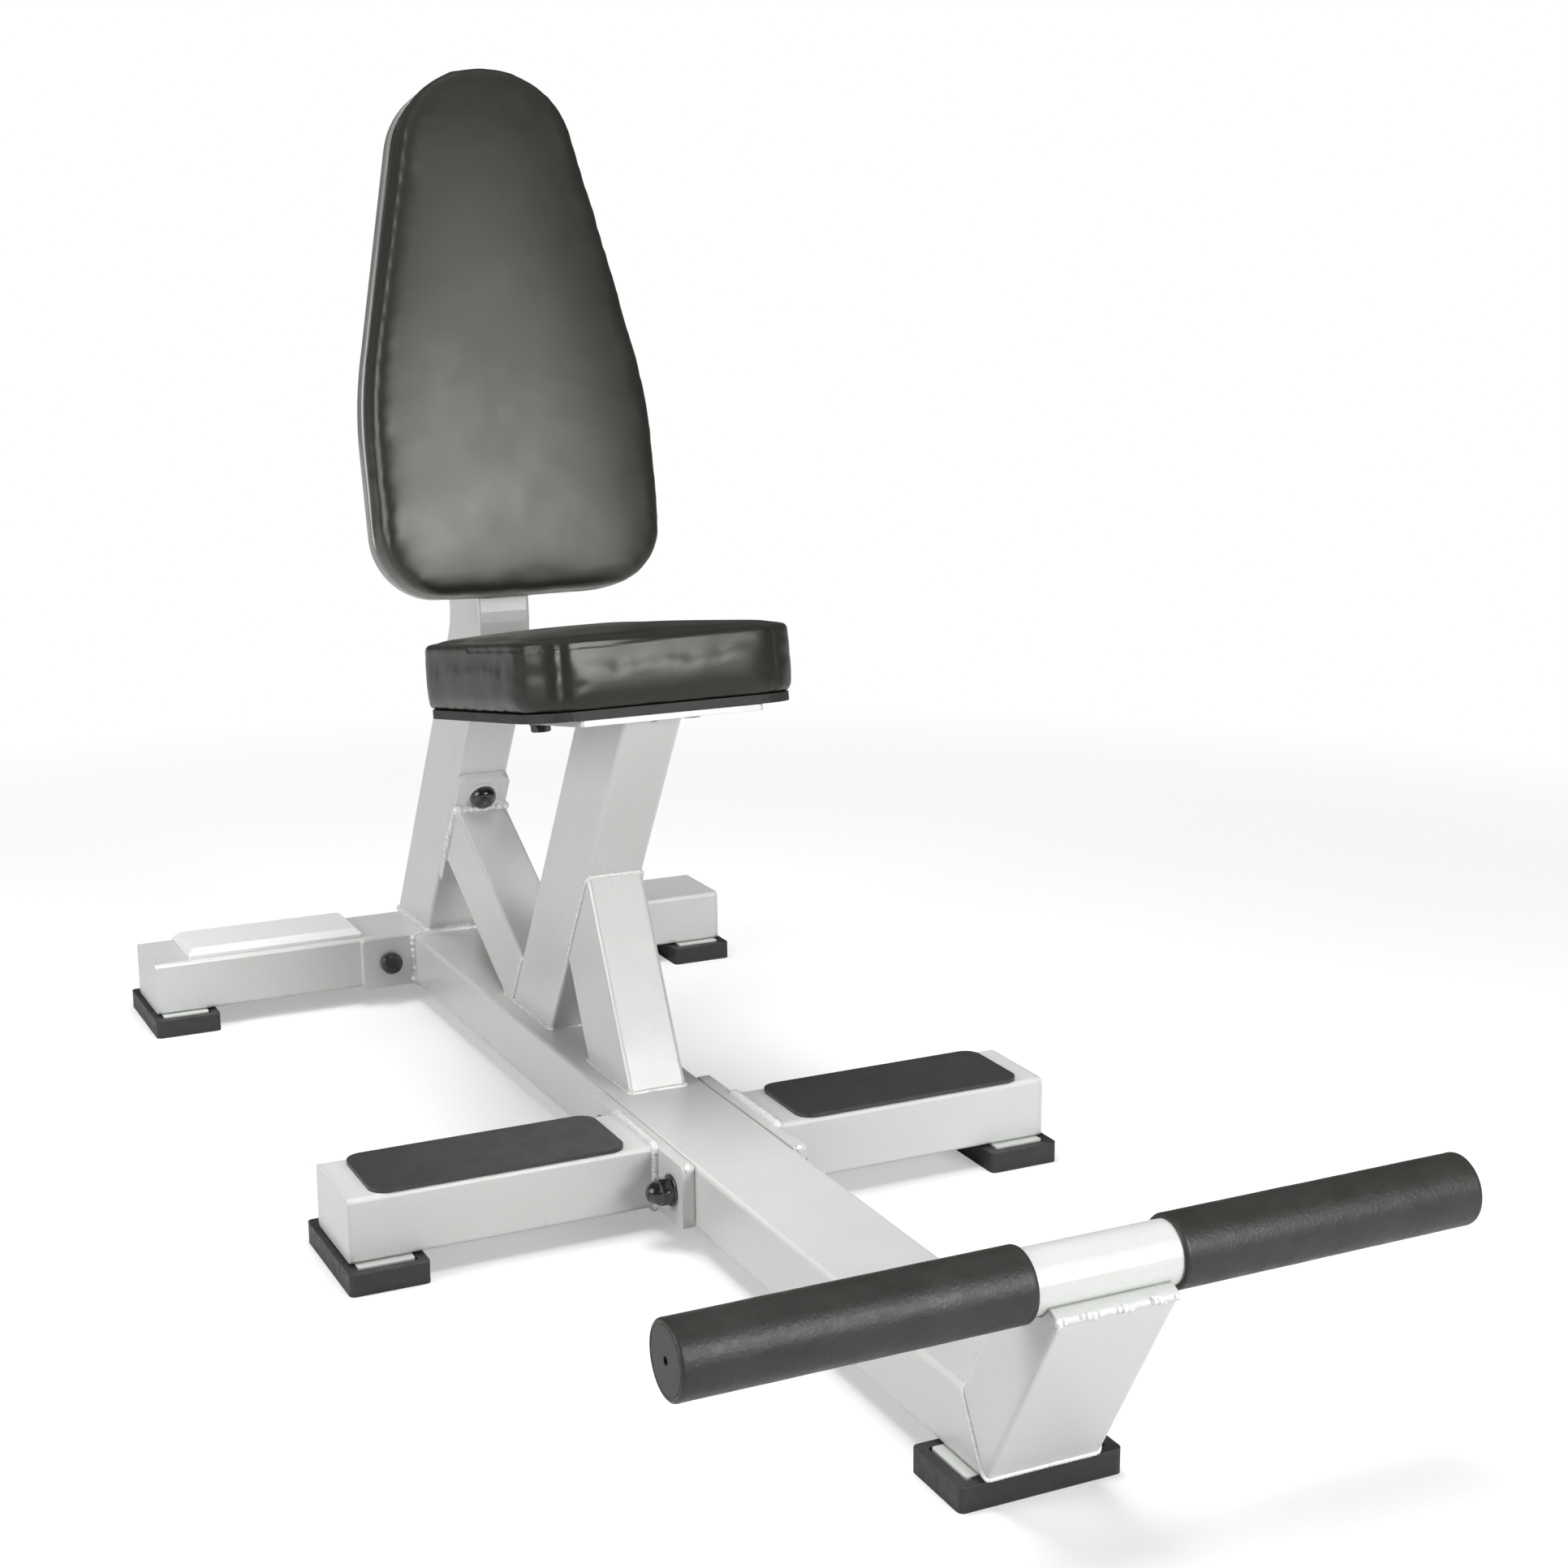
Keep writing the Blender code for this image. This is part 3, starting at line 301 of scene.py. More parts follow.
# %% Painted board
painted_board = new_finish("painted_board", (0.020, 0.019, 0.018), 0.55)
fibres = grain(painted_board, 0.0016, 3, stretch=(1, 0.06, 1), seed=1)
tint(painted_board, spread(painted_board, fibres, 0.0, 0.7, 0.45, 0.75), (0.045, 0.040, 0.035))
roughen(painted_board, spread(painted_board, fibres, 0.45, 0.68))
emboss(painted_board, fibres, 0.00015)

# %% Moulded rubber
black_rubber = new_finish("black_rubber", (0.024, 0.024, 0.022), 0.50)
soften_arrises(black_rubber, 0.0015)
mottle(black_rubber, (0.036, 0.036, 0.034), 0.6, 0.020, 4, seed=2)
# painted highlight: the rubber is lighter along every edge
tint(black_rubber, painted_edge_highlight(black_rubber, 0.002, 0.5), (0.085, 0.085, 0.080))
vary_shine(black_rubber, 0.42, 0.60, 0.008, 3, seed=5)
pebble(black_rubber, 0.00010, 0.0009, seed=3)

# %% Step pad rubber, with a fine pebbled face
step_rubber = new_finish(
    "step_rubber", (0.034, 0.034, 0.032), 0.50, coat=0.25, coat_roughness=0.4
)
soften_arrises(step_rubber, 0.0012)
mottle(step_rubber, (0.046, 0.046, 0.043), 0.6, 0.040, 4, seed=2)
vary_shine(step_rubber, 0.40, 0.52, 0.015, 3, seed=5)
pebble(step_rubber, 0.00025, 0.0016, strength=0.6, cells=True, seed=3)

# %% Roller foam, and cut foam on the rollers' closed ends
roller_foam = new_finish("roller_foam", (0.024, 0.0245, 0.0215), 0.46)
mottle(roller_foam, (0.038, 0.039, 0.035), 0.6, 0.030, 3, seed=1)
vary_shine(roller_foam, 0.40, 0.52, 0.010, 3, seed=4)
pebble(roller_foam, 0.00038, 0.0030, 3, seed=2)
pebble(roller_foam, 0.00005, 0.0008, seed=7)
cut_foam = new_finish("cut_foam", (0.085, 0.086, 0.080), 0.75)
mottle(cut_foam, (0.060, 0.061, 0.057), 0.7, 0.0012, 3, seed=1)
pebble(cut_foam, 0.0003, 0.0012, cells=True, seed=2)

# %% [markdown]
# ## Bolts and the bare plate
# The bolts, nuts and caps are blacked, with a thin oily shine. The plate on the crossbar is
# bare bright metal, brushed along its length.

# %% Blacked steel
dark_steel = new_finish(
    "dark_steel", (0.012, 0.012, 0.0115), 0.22, 0.15, coat=1.0, coat_roughness=0.07
)
mottle(dark_steel, (0.022, 0.021, 0.020), 0.6, 0.004, 4, seed=1)
vary_shine(dark_steel, 0.16, 0.36, 0.003, 3, seed=3)
pebble(dark_steel, 0.00008, 0.0015, 3, seed=5)

# %% Bare bright plate
plate_metal = new_finish("plate_metal", (0.82, 0.82, 0.82), 0.36, 0.15)
brushing = grain(plate_metal, 0.0004, 2, stretch=(0.02, 1, 1), seed=2)
tint(plate_metal, spread(plate_metal, brushing, 0.0, 0.10), (0.70, 0.70, 0.70))
roughen(plate_metal, spread(plate_metal, brushing, 0.33, 0.39))

# %% Give each carried-over node its finish
finishes = {
    "frame_paint": frame_paint, "dark_steel": dark_steel, "black_vinyl": black_vinyl,
    "painted_board": painted_board, "black_rubber": black_rubber,
    "roller_foam": roller_foam, "plate_metal": plate_metal,
}
for name, node in nodes.items():
    finish = step_rubber if "step_pad" in name else finishes[slots[name]]
    node.data.materials.clear()
    node.data.materials.append(finish)
print("finishes:", sorted(finishes))

# %% [markdown]
# ## A small kit for meshes
# Most pieces here are rings of points joined into a skin. That could be drawn with a curve
# and a bevel, but rings in code allow a bead that ripples or a nut that is a hexagon at one
# end and round at the other. Tables of small sizes are in millimetres, and MM turns them
# into metres.

# %% Helpers that make a piece
MM = 0.001
HANDS = ("left", "right")
ACROSS = Vector((1, 0, 0))


def add_piece(name, points, faces, finish, slot, body="bench", sharp=None):
    """A smooth piece that rides on a body. Edges over so many degrees stay sharp."""
    mesh = bpy.data.meshes.new(name)
    mesh.from_pydata([tuple(p) for p in points], [], faces)
    mesh.validate()
    tidy = bmesh.new()
    tidy.from_mesh(mesh)
    bmesh.ops.recalc_face_normals(tidy, faces=tidy.faces[:])
    tidy.to_mesh(mesh)
    tidy.free()
    mesh.materials.append(finish)
    mesh.shade_smooth()
    if sharp:
        mesh.set_sharp_from_angle(angle=math.radians(sharp))
    made = bpy.data.objects.new(name, mesh)
    bpy.context.scene.collection.objects.link(made)
    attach(made, body)
    return made


def skin(rings, closed=False):
    """Joins a row of rings that have as many points each, and caps its ends."""
    count = len(rings[0])
    points = [p for ring in rings for p in ring]
    rows = [list(range(k * count, (k + 1) * count)) for k in range(len(rings))]
    pairs = list(zip(rows, rows[1:]))
    faces = []
    if closed:
        pairs.append((rows[-1], rows[0]))
    else:
        faces = [rows[0][::-1], rows[-1]]
    for low, high in pairs:
        for i in range(count):
            j = (i + 1) % count
            faces.append((low[i], low[j], high[j], high[i]))
    return points, faces


def axes_of(direction):
    """Two directions square to the given one and to each other."""
    first = direction.orthogonal().normalized()
    return first, direction.cross(first).normalized()


print("mesh helpers ready")

# %% [markdown]
# ## Weld beads
# Where tubes meet, the real frame is welded all round. A bead is a row of overlapping
# ripples, each a few millimetres long, and it fills the corner between two pieces. The CAD
# model leaves a hair gap at each joint. The bead is drawn along that gap: the outline where a
# tube meets a plane is read from the tube's own points, so that it lies exactly on the seam.

# %% Read a seam from a tube
SEAM_REACH = 0.0009


def seam_of(node, point, normal):
    """Outer outline of the node's points that lie on a plane, in order round the seam."""
    normal = Vector(normal).normalized()
    across, along = axes_of(normal)
    point = Vector(point)
    corners = [v.co for v in nodes[node].data.vertices]
    near = [p for p in corners if abs((p - point).dot(normal)) < SEAM_REACH]
    flat = sorted({(round(p.dot(across), 5), round(p.dot(along), 5)) for p in near})
    hull = []
    for sweep in (flat, flat[::-1]):
        side = []
        for p in sweep:
            while len(side) > 1 and turn_of(side[-2], side[-1], p) <= 1e-9:
                side.pop()
            side.append(p)
        hull += side[:-1]
    lift = point.dot(normal)
    return [across * x + along * y + normal * lift for x, y in hull]


def turn_of(a, b, c):
    """Above 0 where the way from a over b to c turns left."""
    return (b[0] - a[0]) * (c[1] - a[1]) - (b[1] - a[1]) * (c[0] - a[0])


def walk(line, step):
    """Points along a closed line, about a step apart."""
    stops = [*line, line[0]]
    lengths = [0.0]
    for a, b in zip(stops, stops[1:]):
        lengths.append(lengths[-1] + (b - a).length)
    count = max(4, round(lengths[-1] / step))
    wanted = np.linspace(0, lengths[-1], count, endpoint=False)
    return [Vector(row) for row in zip(*(np.interp(wanted, lengths, k) for k in zip(*stops)))]


# %% Draw a bead along a seam
BEAD_STEP = 0.0013
BEAD_RIPPLE = 0.0042
BEAD_SIDES = 10
BEAD_SEED = 1
# the clock seeds the vector noise unless a seed is set, and the beads would never come out alike
noise.seed_set(BEAD_SEED)


def ahead_at(line, i):
    """Which way a closed line runs at one of its points."""
    return (line[(i + 1) % len(line)] - line[i - 1]).normalized()


def round_ring(line, i, shift, size, sides):
    """A ring of points round one point of a closed line, shifted off it."""
    first, second = axes_of(ahead_at(line, i))
    middle = line[i] + shift
    turns = (2 * math.pi * k / sides for k in range(sides))
    return [middle + (first * math.cos(t) + second * math.sin(t)) * size for t in turns]


def align_rings(rings):
    """Turns each ring so that its first point follows the last ring's, without a twist."""
    done = [rings[0]]
    for ring in rings[1:]:
        start = done[-1][0]
        pick = min(range(len(ring)), key=lambda k: (ring[k] - start).length)
        forward = ring[pick:] + ring[:pick]
        backward = forward[:1] + forward[:0:-1]
        done.append(min(
            (forward, backward),
            key=lambda order: sum((a - b).length for a, b in zip(done[-1], order)),
        ))
    return done


def add_bead(name, line, radius, wander=0.12):
    """A rippled bead: its radius and place vary a little, as a hand-run weld does."""
    path = walk(line, BEAD_STEP)
    rings = []
    for i, point in enumerate(path):
        ripple = 0.80 + 0.20 * abs(math.sin(math.pi * (i * BEAD_STEP / BEAD_RIPPLE)))
        swell = 1 + wander * noise.noise(point * 90)
        shift = noise.noise_vector(point * 70) * radius * wander
        rings.append(round_ring(path, i, shift, radius * ripple * swell, BEAD_SIDES))
    add_piece(name, *skin(align_rings(rings), True), weld_paint_painted_highlight, "frame_paint")


print("bead helpers ready")

# %% [markdown]
# The frame's own measures place the leaning planes: how far each post stands ahead of the
# rail's rear end, and how it leans.

# %% Planes of the leaning posts
RAIL_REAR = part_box("base_rail")[1].y
RAIL_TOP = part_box("base_rail")[1].z
TUBE_HALF = 0.050
SEAT_POST_AHEAD = 0.3495
SEAT_POST_LEAN = math.radians(31)
UPRIGHT_LEAN = math.radians(31.5)
FOOT_POST_LEAN = math.radians(30)


def leaning(angle):
    """The way up along a piece that leans to the rear by the angle."""
    return Vector((0, math.sin(angle), math.cos(angle)))


def facing(angle):
    """The way out of that piece's rear face."""
    return Vector((0, math.cos(angle), -math.sin(angle)))


seat_post_face = facing(-SEAT_POST_LEAN)
seat_post_foot = Vector((0, RAIL_REAR - SEAT_POST_AHEAD, RAIL_TOP))
seat_post_front = seat_post_foot - seat_post_face * TUBE_HALF
seat_post_back = seat_post_foot + seat_post_face * TUBE_HALF
flange_points = [v.co for v in nodes["rear_brace_flange"].data.vertices]
flange_middle = sum(flange_points, Vector()) / len(flange_points)
flange_out = -facing(-UPRIGHT_LEAN)
flange_reach = max((p - flange_middle).dot(flange_out) for p in flange_points)
flange_face = flange_middle + flange_out * flange_reach
print("seat post front face at", [round(v, 4) for v in seat_post_front])

# %% Beads round the posts and braces
UP = Vector((0, 0, 1))
JOINT_GAP = 0.0003
BRACE_BEAD = 0.0026
rail_seam = Vector((0, 0, RAIL_TOP + JOINT_GAP))
for name, node, radius in (
    ("seat_post_foot", "seat_post", 0.0028), ("front_brace_foot", "front_brace", 0.0028),
    ("upright_foot", "rear_upright", 0.0036), ("rear_brace_foot", "rear_brace", BRACE_BEAD),
):
    add_bead(f"weld_{name}", seam_of(node, rail_seam, UP), radius)
for name, node, point in (
    ("front_brace_top", "front_brace", seat_post_front),
    ("rear_brace_low", "rear_brace", seat_post_back),
):
    add_bead(f"weld_{name}", seam_of(node, point, seat_post_face), BRACE_BEAD)
brace_seam = seam_of("rear_brace", flange_face, flange_out)
add_bead("weld_rear_brace_top", brace_seam, 0.0046, wander=0.35)
for inner, hand in ((1, "left"), (0, "right")):
    seam = seam_of(f"{hand}_outrigger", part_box(f"{hand}_outrigger")[inner], ACROSS)
    add_bead(f"weld_{hand}_outrigger", seam, 0.0048, wander=0.06)
rail_end = seam_of("base_rail", (0, RAIL_REAR, 0), (0, 1, 0))
add_bead("weld_rail_flange", rail_end, 0.0038, wander=0.3)

# %% [markdown]
# The foot bar sits in a saddle cut in the foot post. Its weld is the heaviest on the bench. The
# bar is set back in the post, so in front the weld has to bridge from the bar to the top of
# the post's front wall, and it is lumpy where the welder stopped and started. Behind, it is a
# plain fillet in the corner under the bar. Both sections are curves from the bar to the wall.

# %% Welds of the foot bar
bar_low, bar_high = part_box("foot_bar")
BAR = (bar_low + bar_high) / 2
BAR_RADIUS = (bar_high.z - bar_low.z) / 2
POST_HALF = 0.030
BAR_SET_BACK = 0.010 * math.cos(FOOT_POST_LEAN)
WELD_REACH = 0.0503
WELD_STEPS = 80
WELD_RIPPLE = 0.0046
SECTION_STEPS = 8
post_up = leaning(-FOOT_POST_LEAN)
post_out = -facing(-FOOT_POST_LEAN)


def add_bar_weld(name, finish, out, lumps, on_bar, bulge, on_wall, root):
    """A weld along the bar. Each point of its section is (out, up) from the bar's axis."""
    rings = []
    for i in range(WELD_STEPS + 1):
        x = WELD_REACH * (2 * i / WELD_STEPS - 1)
        end = min(1.0, 0.3 + 0.2 * min(i, WELD_STEPS - i))
        lump = lumps * (noise.noise(Vector((x * 95, out.y * 3, 0.5))) - 0.2) * end
        ripple = 0.0004 * abs(math.sin(math.pi * x / WELD_RIPPLE))
        middle = BAR + Vector((x, 0, 0))
        ring = []
        for k in range(SECTION_STEPS + 1):
            t = k / SECTION_STEPS
            a, b, c = (1 - t) ** 2, 2 * t * (1 - t), t * t
            reach, rise = (
                a * start + b * (mid + lump + ripple) + c * (end_at + sag * lump)
                for start, mid, end_at, sag in zip(on_bar, bulge, on_wall, (0.2, 0))
            )
            ring.append(middle + out * reach + post_up * rise)
        ring.append(middle + out * root[0] + post_up * root[1])
        rings.append(ring)
    add_piece(name, *skin(rings), finish, "frame_paint")


front_wall = POST_HALF + BAR_SET_BACK
rear_wall = POST_HALF - BAR_SET_BACK
rear_seam = -math.sqrt(BAR_RADIUS**2 - rear_wall**2)
add_bar_weld(
    "weld_foot_bar_front", frame_paint, post_out, lumps=0.0009,
    on_bar=(BAR_RADIUS - 0.0008, 0.0010), bulge=(front_wall - 0.0010, 0.0046),
    on_wall=(front_wall + 0.0005, -0.0016), root=(front_wall - 0.008, -0.006),
)
add_bar_weld(
    "weld_foot_bar_rear", weld_paint_painted_highlight, -post_out, lumps=0.0008,
    on_bar=(BAR_RADIUS * 0.985, rear_seam + 0.0070),
    bulge=(rear_wall + 0.0030, rear_seam + 0.0010),
    on_wall=(rear_wall + 0.0003, rear_seam - 0.0050), root=(rear_wall - 0.004, rear_seam - 0.001),
)
print("bar at", [round(v, 4) for v in BAR], "radius", round(BAR_RADIUS, 4))

# %% [markdown]
# Closing plates are welded on the ends of the crossbar and the outriggers, and those welds are
# ground flush before painting. A bead would stand too proud there. Each joint gets a thin band
# instead, which stands a tenth of a millimetre proud and hides the seam.

# %% Ground joints of the closing plates
GROUND_HALF = 0.0011
GROUND_STEP = 0.004
GROUND_PROUD = 0.00012
GROUND_SUNK = 0.00048


def add_ground_joint(name, line):
    """A thin band over a joint that runs round the end of a tube."""
    path = walk(line, GROUND_STEP)
    middle = sum(path, Vector()) / len(path)
    rings = []
    for reach, lift in (
        (-GROUND_HALF, GROUND_PROUD), (GROUND_HALF, GROUND_PROUD),
        (GROUND_HALF, -GROUND_SUNK), (-GROUND_HALF, -GROUND_SUNK),
    ):
        ring = []
        for i, point in enumerate(path):
            out = ahead_at(path, i).cross(ACROSS)
            if out.dot(point - middle) < 0:
                out = -out
            ring.append(point + ACROSS * reach + out * lift)
        rings.append(ring)
    add_piece(name, *skin(rings, True), frame_paint, "frame_paint", sharp=50)


for inner, hand in ((1, "left"), (0, "right")):
    for name in (f"{hand}_outrigger_end", f"crossbar_{hand}_end"):
        inner_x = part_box(name)[inner].x
        add_ground_joint(f"ground_{name}", seam_of(name, (inner_x, 0, 0), ACROSS))

# %% [markdown]
# ## Drops of weld metal
# A hand-run weld stops and starts, and each stop leaves a drop. The heaviest ones sit under
# the foot bar and where the rear brace meets its plate. Each is a small uneven ball, sunk half
# way into the seam.

# %% Weld drops
DROP_UNEVEN = 0.25


def add_drops(name, spots):
    """Drops of weld metal at (place, size in mm)."""
    drops = bmesh.new()
    for place, size in spots:
        ball = bmesh.ops.create_icosphere(drops, subdivisions=3, radius=size * MM)
        for v in ball["verts"]:
            v.co *= 1 + DROP_UNEVEN * noise.noise(v.co / (size * MM) * 1.3 + place * 900)
            v.co += place
    drops.verts.index_update()
    points = [v.co.copy() for v in drops.verts]
    faces = [[v.index for v in face.verts] for face in drops.faces]
    drops.free()
    add_piece(name, points, faces, weld_paint_painted_highlight, "frame_paint")


# Drops under the bar, on the post's front wall: place along it, size, and how far down, in mm.
BAR_DROPS = (
    (-48, 3.6, 1), (-44, 2.8, 0), (-47.5, 2.4, 6), (-30, 2.2, -1), (-25, 2.8, 0), (-20, 3.2, 1),
    (-15, 2.6, 0), (0, 2.8, 0), (4.5, 3.4, 0), (10, 3.2, 1), (18, 1.8, 0), (29, 3.0, -1),
    (33.5, 3.6, 0), (39, 2.4, 2), (47.5, 2.8, 0),
)
BRACE_DROPS = (6.0, 5.6, 5.0, 5.8, 6.2, 4.8, 6.0, 5.2)
RAIL_END_DROPS = ((3, 4.6), (10, 5.0), (18, 4.4), (26, 3.6), (40, 3.8), (54, 4.6))
under_bar = BAR + post_out * (front_wall - 0.0020) + post_up * 0.0002
add_drops("weld_foot_bar_drops", [
    (under_bar + (ACROSS * x - post_up * down) * MM, size) for x, size, down in BAR_DROPS
])
brace_edge = max(brace_seam, key=lambda p: p.z) + flange_out * 0.0025
add_drops("weld_rear_brace_drops", [
    (Vector((-0.028 + 0.0080 * k, brace_edge.y, brace_edge.z - 0.001)), size)
    for k, size in enumerate(BRACE_DROPS)
])
add_drops("weld_rail_flange_drops", [
    (Vector((side * (TUBE_HALF + 0.0006), RAIL_REAR - 0.0012, RAIL_TOP - down * MM)), size)
    for side in (-1, 1) for down, size in RAIL_END_DROPS
])
plates = [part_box(f"{hand}_outrigger_flange") for hand in HANDS]
add_drops("weld_flange_drops", [
    (Vector(((low.x + high.x) / 2, low.y + 0.001, high.z - 0.002)), 4.2) for low, high in plates
])
print("weld drops:", len(BAR_DROPS), "under the bar")

# %% Bead of the mitre between the rail and the foot post
mitre = (Vector((0, -1, 0)) + post_up).normalized()
mitre_foot = min((v.co for v in nodes["foot_post"].data.vertices), key=lambda p: p.z)
add_bead("weld_mitre", seam_of("foot_post", mitre_foot, mitre), 0.0020)

# %% [markdown]
# ## Bolts, nuts and caps
# The CAD model's fasteners are plain prisms. A real hexagon head is cut from a bar and
# turned, so its corners are rounded off by a cone, which leaves an arc on each flat. A cap nut
# adds a dome and a thin round flange. All of these are one lathe job: a list of depths and
# radii in millimetres, where a third value, HEX, holds the ring inside the hexagon.

# %% Turn a fastener
FRAME_ACROSS, FRAME_SHANK = 24, 8
PAD_ACROSS, PAD_SHANK = 17, 5
HEX = True


def tip_of(node, out):
    """The middle of the node's end on the side of out, and the node's length in mm."""
    corners = [v.co for v in nodes[node].data.vertices]
    middle = Vector()
    for axis in axes_of(out):
        reach = [p.dot(axis) for p in corners]
        middle += axis * (min(reach) + max(reach)) / 2
    reach = [p.dot(out) for p in corners]
    return middle + out * max(reach), (max(reach) - min(reach)) / MM


def lathe(tip, out, profile, across=0, sides=48, closed=False):
    """Rings from (depth, radius) or (depth, radius, HEX) rows, as points and faces."""
    first, second = axes_of(out)
    rings = []
    for depth, radius, *flat in profile:
        ring = []
        for k in range(sides):
            t = 2 * math.pi * k / sides
            hexagon = across / 2 / math.cos(t % (math.pi / 3) - math.pi / 6)
            size = MM * (min(radius, hexagon) if flat else radius)
            spoke = first * math.cos(t) + second * math.sin(t)
            ring.append(tip - out * (depth * MM) + spoke * size)
        rings.append(ring)
    return skin(rings, closed)


def add_fastener(node, out, profile, across=0):
    """Replaces a CAD fastener with a turned one. A depth of None stands for its far end."""
    tip, length = tip_of(node, out)
    rows = [(length if row[0] is None else row[0], *row[1:]) for row in profile]
    shape = lathe(tip, out, rows, across)
    made = add_piece(node + "_turned", *shape, dark_steel, "dark_steel", sharp=40)
    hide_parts(node)


def hexagon_head(across, height, shank, washer=0, washer_radius=0):
    """A head with a turned cone at its top, with a washer if it has one, and its shank."""
    corner = across / math.sqrt(3)
    start = across / 2 * 0.93
    step = (corner - start) / 5
    cone = [(0.6 * step * k, start + step * k, HEX) for k in range(6)]
    rows = [(0.5, start * 0.45), (0.3, start * 0.80), *cone, (height, corner, HEX)]
    if washer:
        rows += [(height, washer_radius - 0.3), (height + 0.3, washer_radius)]
        rows.append((height + washer, washer_radius))
    return rows + [(height + washer, shank), (None, shank)]


# %% Bolts through the frame, and bolts that hold the pads
SEAT_TILT = math.radians(9)
BACK_LEAN = math.radians(12.4)
AHEAD = Vector((0, -1, 0))
frame_bolt = hexagon_head(FRAME_ACROSS, 10, FRAME_SHANK)
pad_bolt = hexagon_head(PAD_ACROSS, 7, PAD_SHANK, 1.5, 11)
for place in ("front", "rear"):
    add_fastener(f"outrigger_bolt_{place}", ACROSS, frame_bolt, FRAME_ACROSS)
for hand in HANDS:
    add_fastener(f"rear_bolt_{hand}", -AHEAD, frame_bolt, FRAME_ACROSS)
    add_fastener(f"seat_bolt_{hand}", -leaning(SEAT_TILT), pad_bolt, PAD_ACROSS)
    for height in ("lower", "upper"):
        add_fastener(f"back_bolt_{height}_{hand}", facing(BACK_LEAN), pad_bolt, PAD_ACROSS)

# %% Domed cap nuts, and round caps in front of the crossbar's flange
DOME = 11
nut_rows = [
    (DOME * (1 - math.cos(math.radians(a))), DOME * math.sin(math.radians(a)))
    for a in (8, 22, 36, 50, 64, 78)
]
nut_rows += [(DOME + 0.3 * k, 11.2 + 0.54 * k, HEX) for k in range(6)]
nut_rows += [(22.8, 13.9, HEX), (23, 14.6), (23.6, 15.2), (None, 15.2)]
cap_rows = [(0.3, 6), (0, 10), (0.3, 11.2), (1, 12.2), (2.2, 12.8), (4, 13), (None, 13)]
for place in ("front", "rear"):
    add_fastener(f"outrigger_nut_{place}", -ACROSS, nut_rows, FRAME_ACROSS)
for hand in HANDS:
    add_fastener(f"rear_bolt_cap_{hand}", AHEAD, cap_rows)

# %% The brace's domed bolts, with a ring under each
dome_rows = [
    (-3.5, 3.4), (-2.8, 6.6), (-1.4, 9.6), (0.4, 12), (2.6, 13.8), (5.2, 14.8), (8, 15.2),
    (10, 15.2), (10, FRAME_SHANK), (None, FRAME_SHANK),
]
ring_rows = [(9, 14), (9, 18), (9.4, 18.6), (10.1, 18.8), (10.1, 14)]
for place in ("upper", "lower"):
    node = f"brace_bolt_{place}"
    add_fastener(node, flange_out, dome_rows)
    shape = lathe(tip_of(node, flange_out)[0], flange_out, ring_rows, closed=True)
    add_piece(node + "_ring", *shape, frame_paint, "frame_paint", sharp=50)
print("fasteners turned")

# %% [markdown]
# ## Foot rollers
# Each roller is a foam sleeve with a closed outer end, and it turns on the bar. The skin of
# the foam is not quite even along its length, which breaks up the long highlight. The closed
# end is cut foam with a small vent hole, set a hair below the rounded rim.

# %% Left and right rollers
ROLLER_BORE = BAR_RADIUS / MM + 0.4
VENT = 3
CLOSED_END = 6
SKIN_STEPS = 44


def add_roller(hand, out):
    """A sleeve and its closed end. The tables are in millimetres."""
    node = f"{hand}_foot_roller"
    tip, length = tip_of(node, out)
    low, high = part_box(node)
    outer = (high.z - low.z) / 2 / MM
    rows = [(CLOSED_END, VENT), (0.7, VENT)] + [
        (depth, outer - inset)
        for depth, inset in ((0.7, 4), (0.2, 3.4), (0, 2.6), (0.3, 1.4), (1.2, 0.4), (2.6, 0.1))
    ]
    for k in range(SKIN_STEPS + 1):
        depth = 5 + (length - 9) * k / SKIN_STEPS
        wave = noise.noise(Vector((depth * 0.034, out.x * 3, 0)))
        rows.append((depth, outer - 0.18 * (1 + wave)))
    rows += [
        (length - 2.2, outer - 0.2), (length - 0.8, outer - 0.8), (length, outer - 1.8),
        (length, ROLLER_BORE + 0.5), (length - 0.5, ROLLER_BORE), (CLOSED_END, ROLLER_BORE),
    ]
    disc = [(0.3, VENT + 0.3), (0.3, outer - 4.4), (1.2, outer - 4.2), (1.2, VENT + 0.3)]
    made = [
        add_piece(
            f"{hand}_roller_{part}", *lathe(tip, out, profile, sides=96, closed=True),
            finish, "roller_foam", f"{hand}_roller", sharp=50,
        )
        for part, profile, finish in (("sleeve", rows, roller_foam), ("disc", disc, cut_foam))
    ]
    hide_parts(node)


add_roller("left", -ACROSS)
add_roller("right", ACROSS)
print("rollers made")

# %% [markdown]
# ## Stuffed cushions
# Each pad is foam on a board, with vinyl pulled over it and stapled under the board. The
# foam pushes out and the vinyl holds it, so the faces are crowned and the sides pull in at
# the board. Shaping that by hand looks stiff. Here the CAD solid is drawn in a little, turned
# into an even net of points, and blown up for twenty frames as cloth. How far a point may
# move is capped, so that the pad keeps its real size. The net's foot is pinned, because the
# staples hold it there.

# %% Helpers that read and move points
class Pad:
    """A pad's own axes: across, along its outline, and out from its board."""

    def __init__(self, origin, along, out):
        self.origin = np.array(origin)
        self.turn = np.array((Vector((1, 0, 0)), along, out))

    def local(self, points):
        return (points - self.origin) @ self.turn.T

    def world(self, points):
        return points @ self.turn + self.origin


def points_of(mesh, kind="co"):
    """The mesh's points as rows, or their normals where the kind is "normal"."""
    found = np.empty(len(mesh.vertices) * 3)
    mesh.vertices.foreach_get(kind, found)
    return found.reshape(-1, 3)


def set_points(mesh, points):
    mesh.vertices.foreach_set("co", points.ravel())
    mesh.update()


def push_out(mesh, push):
    """Moves each point along its normal."""
    set_points(mesh, points_of(mesh) + points_of(mesh, "normal") * push[:, None])


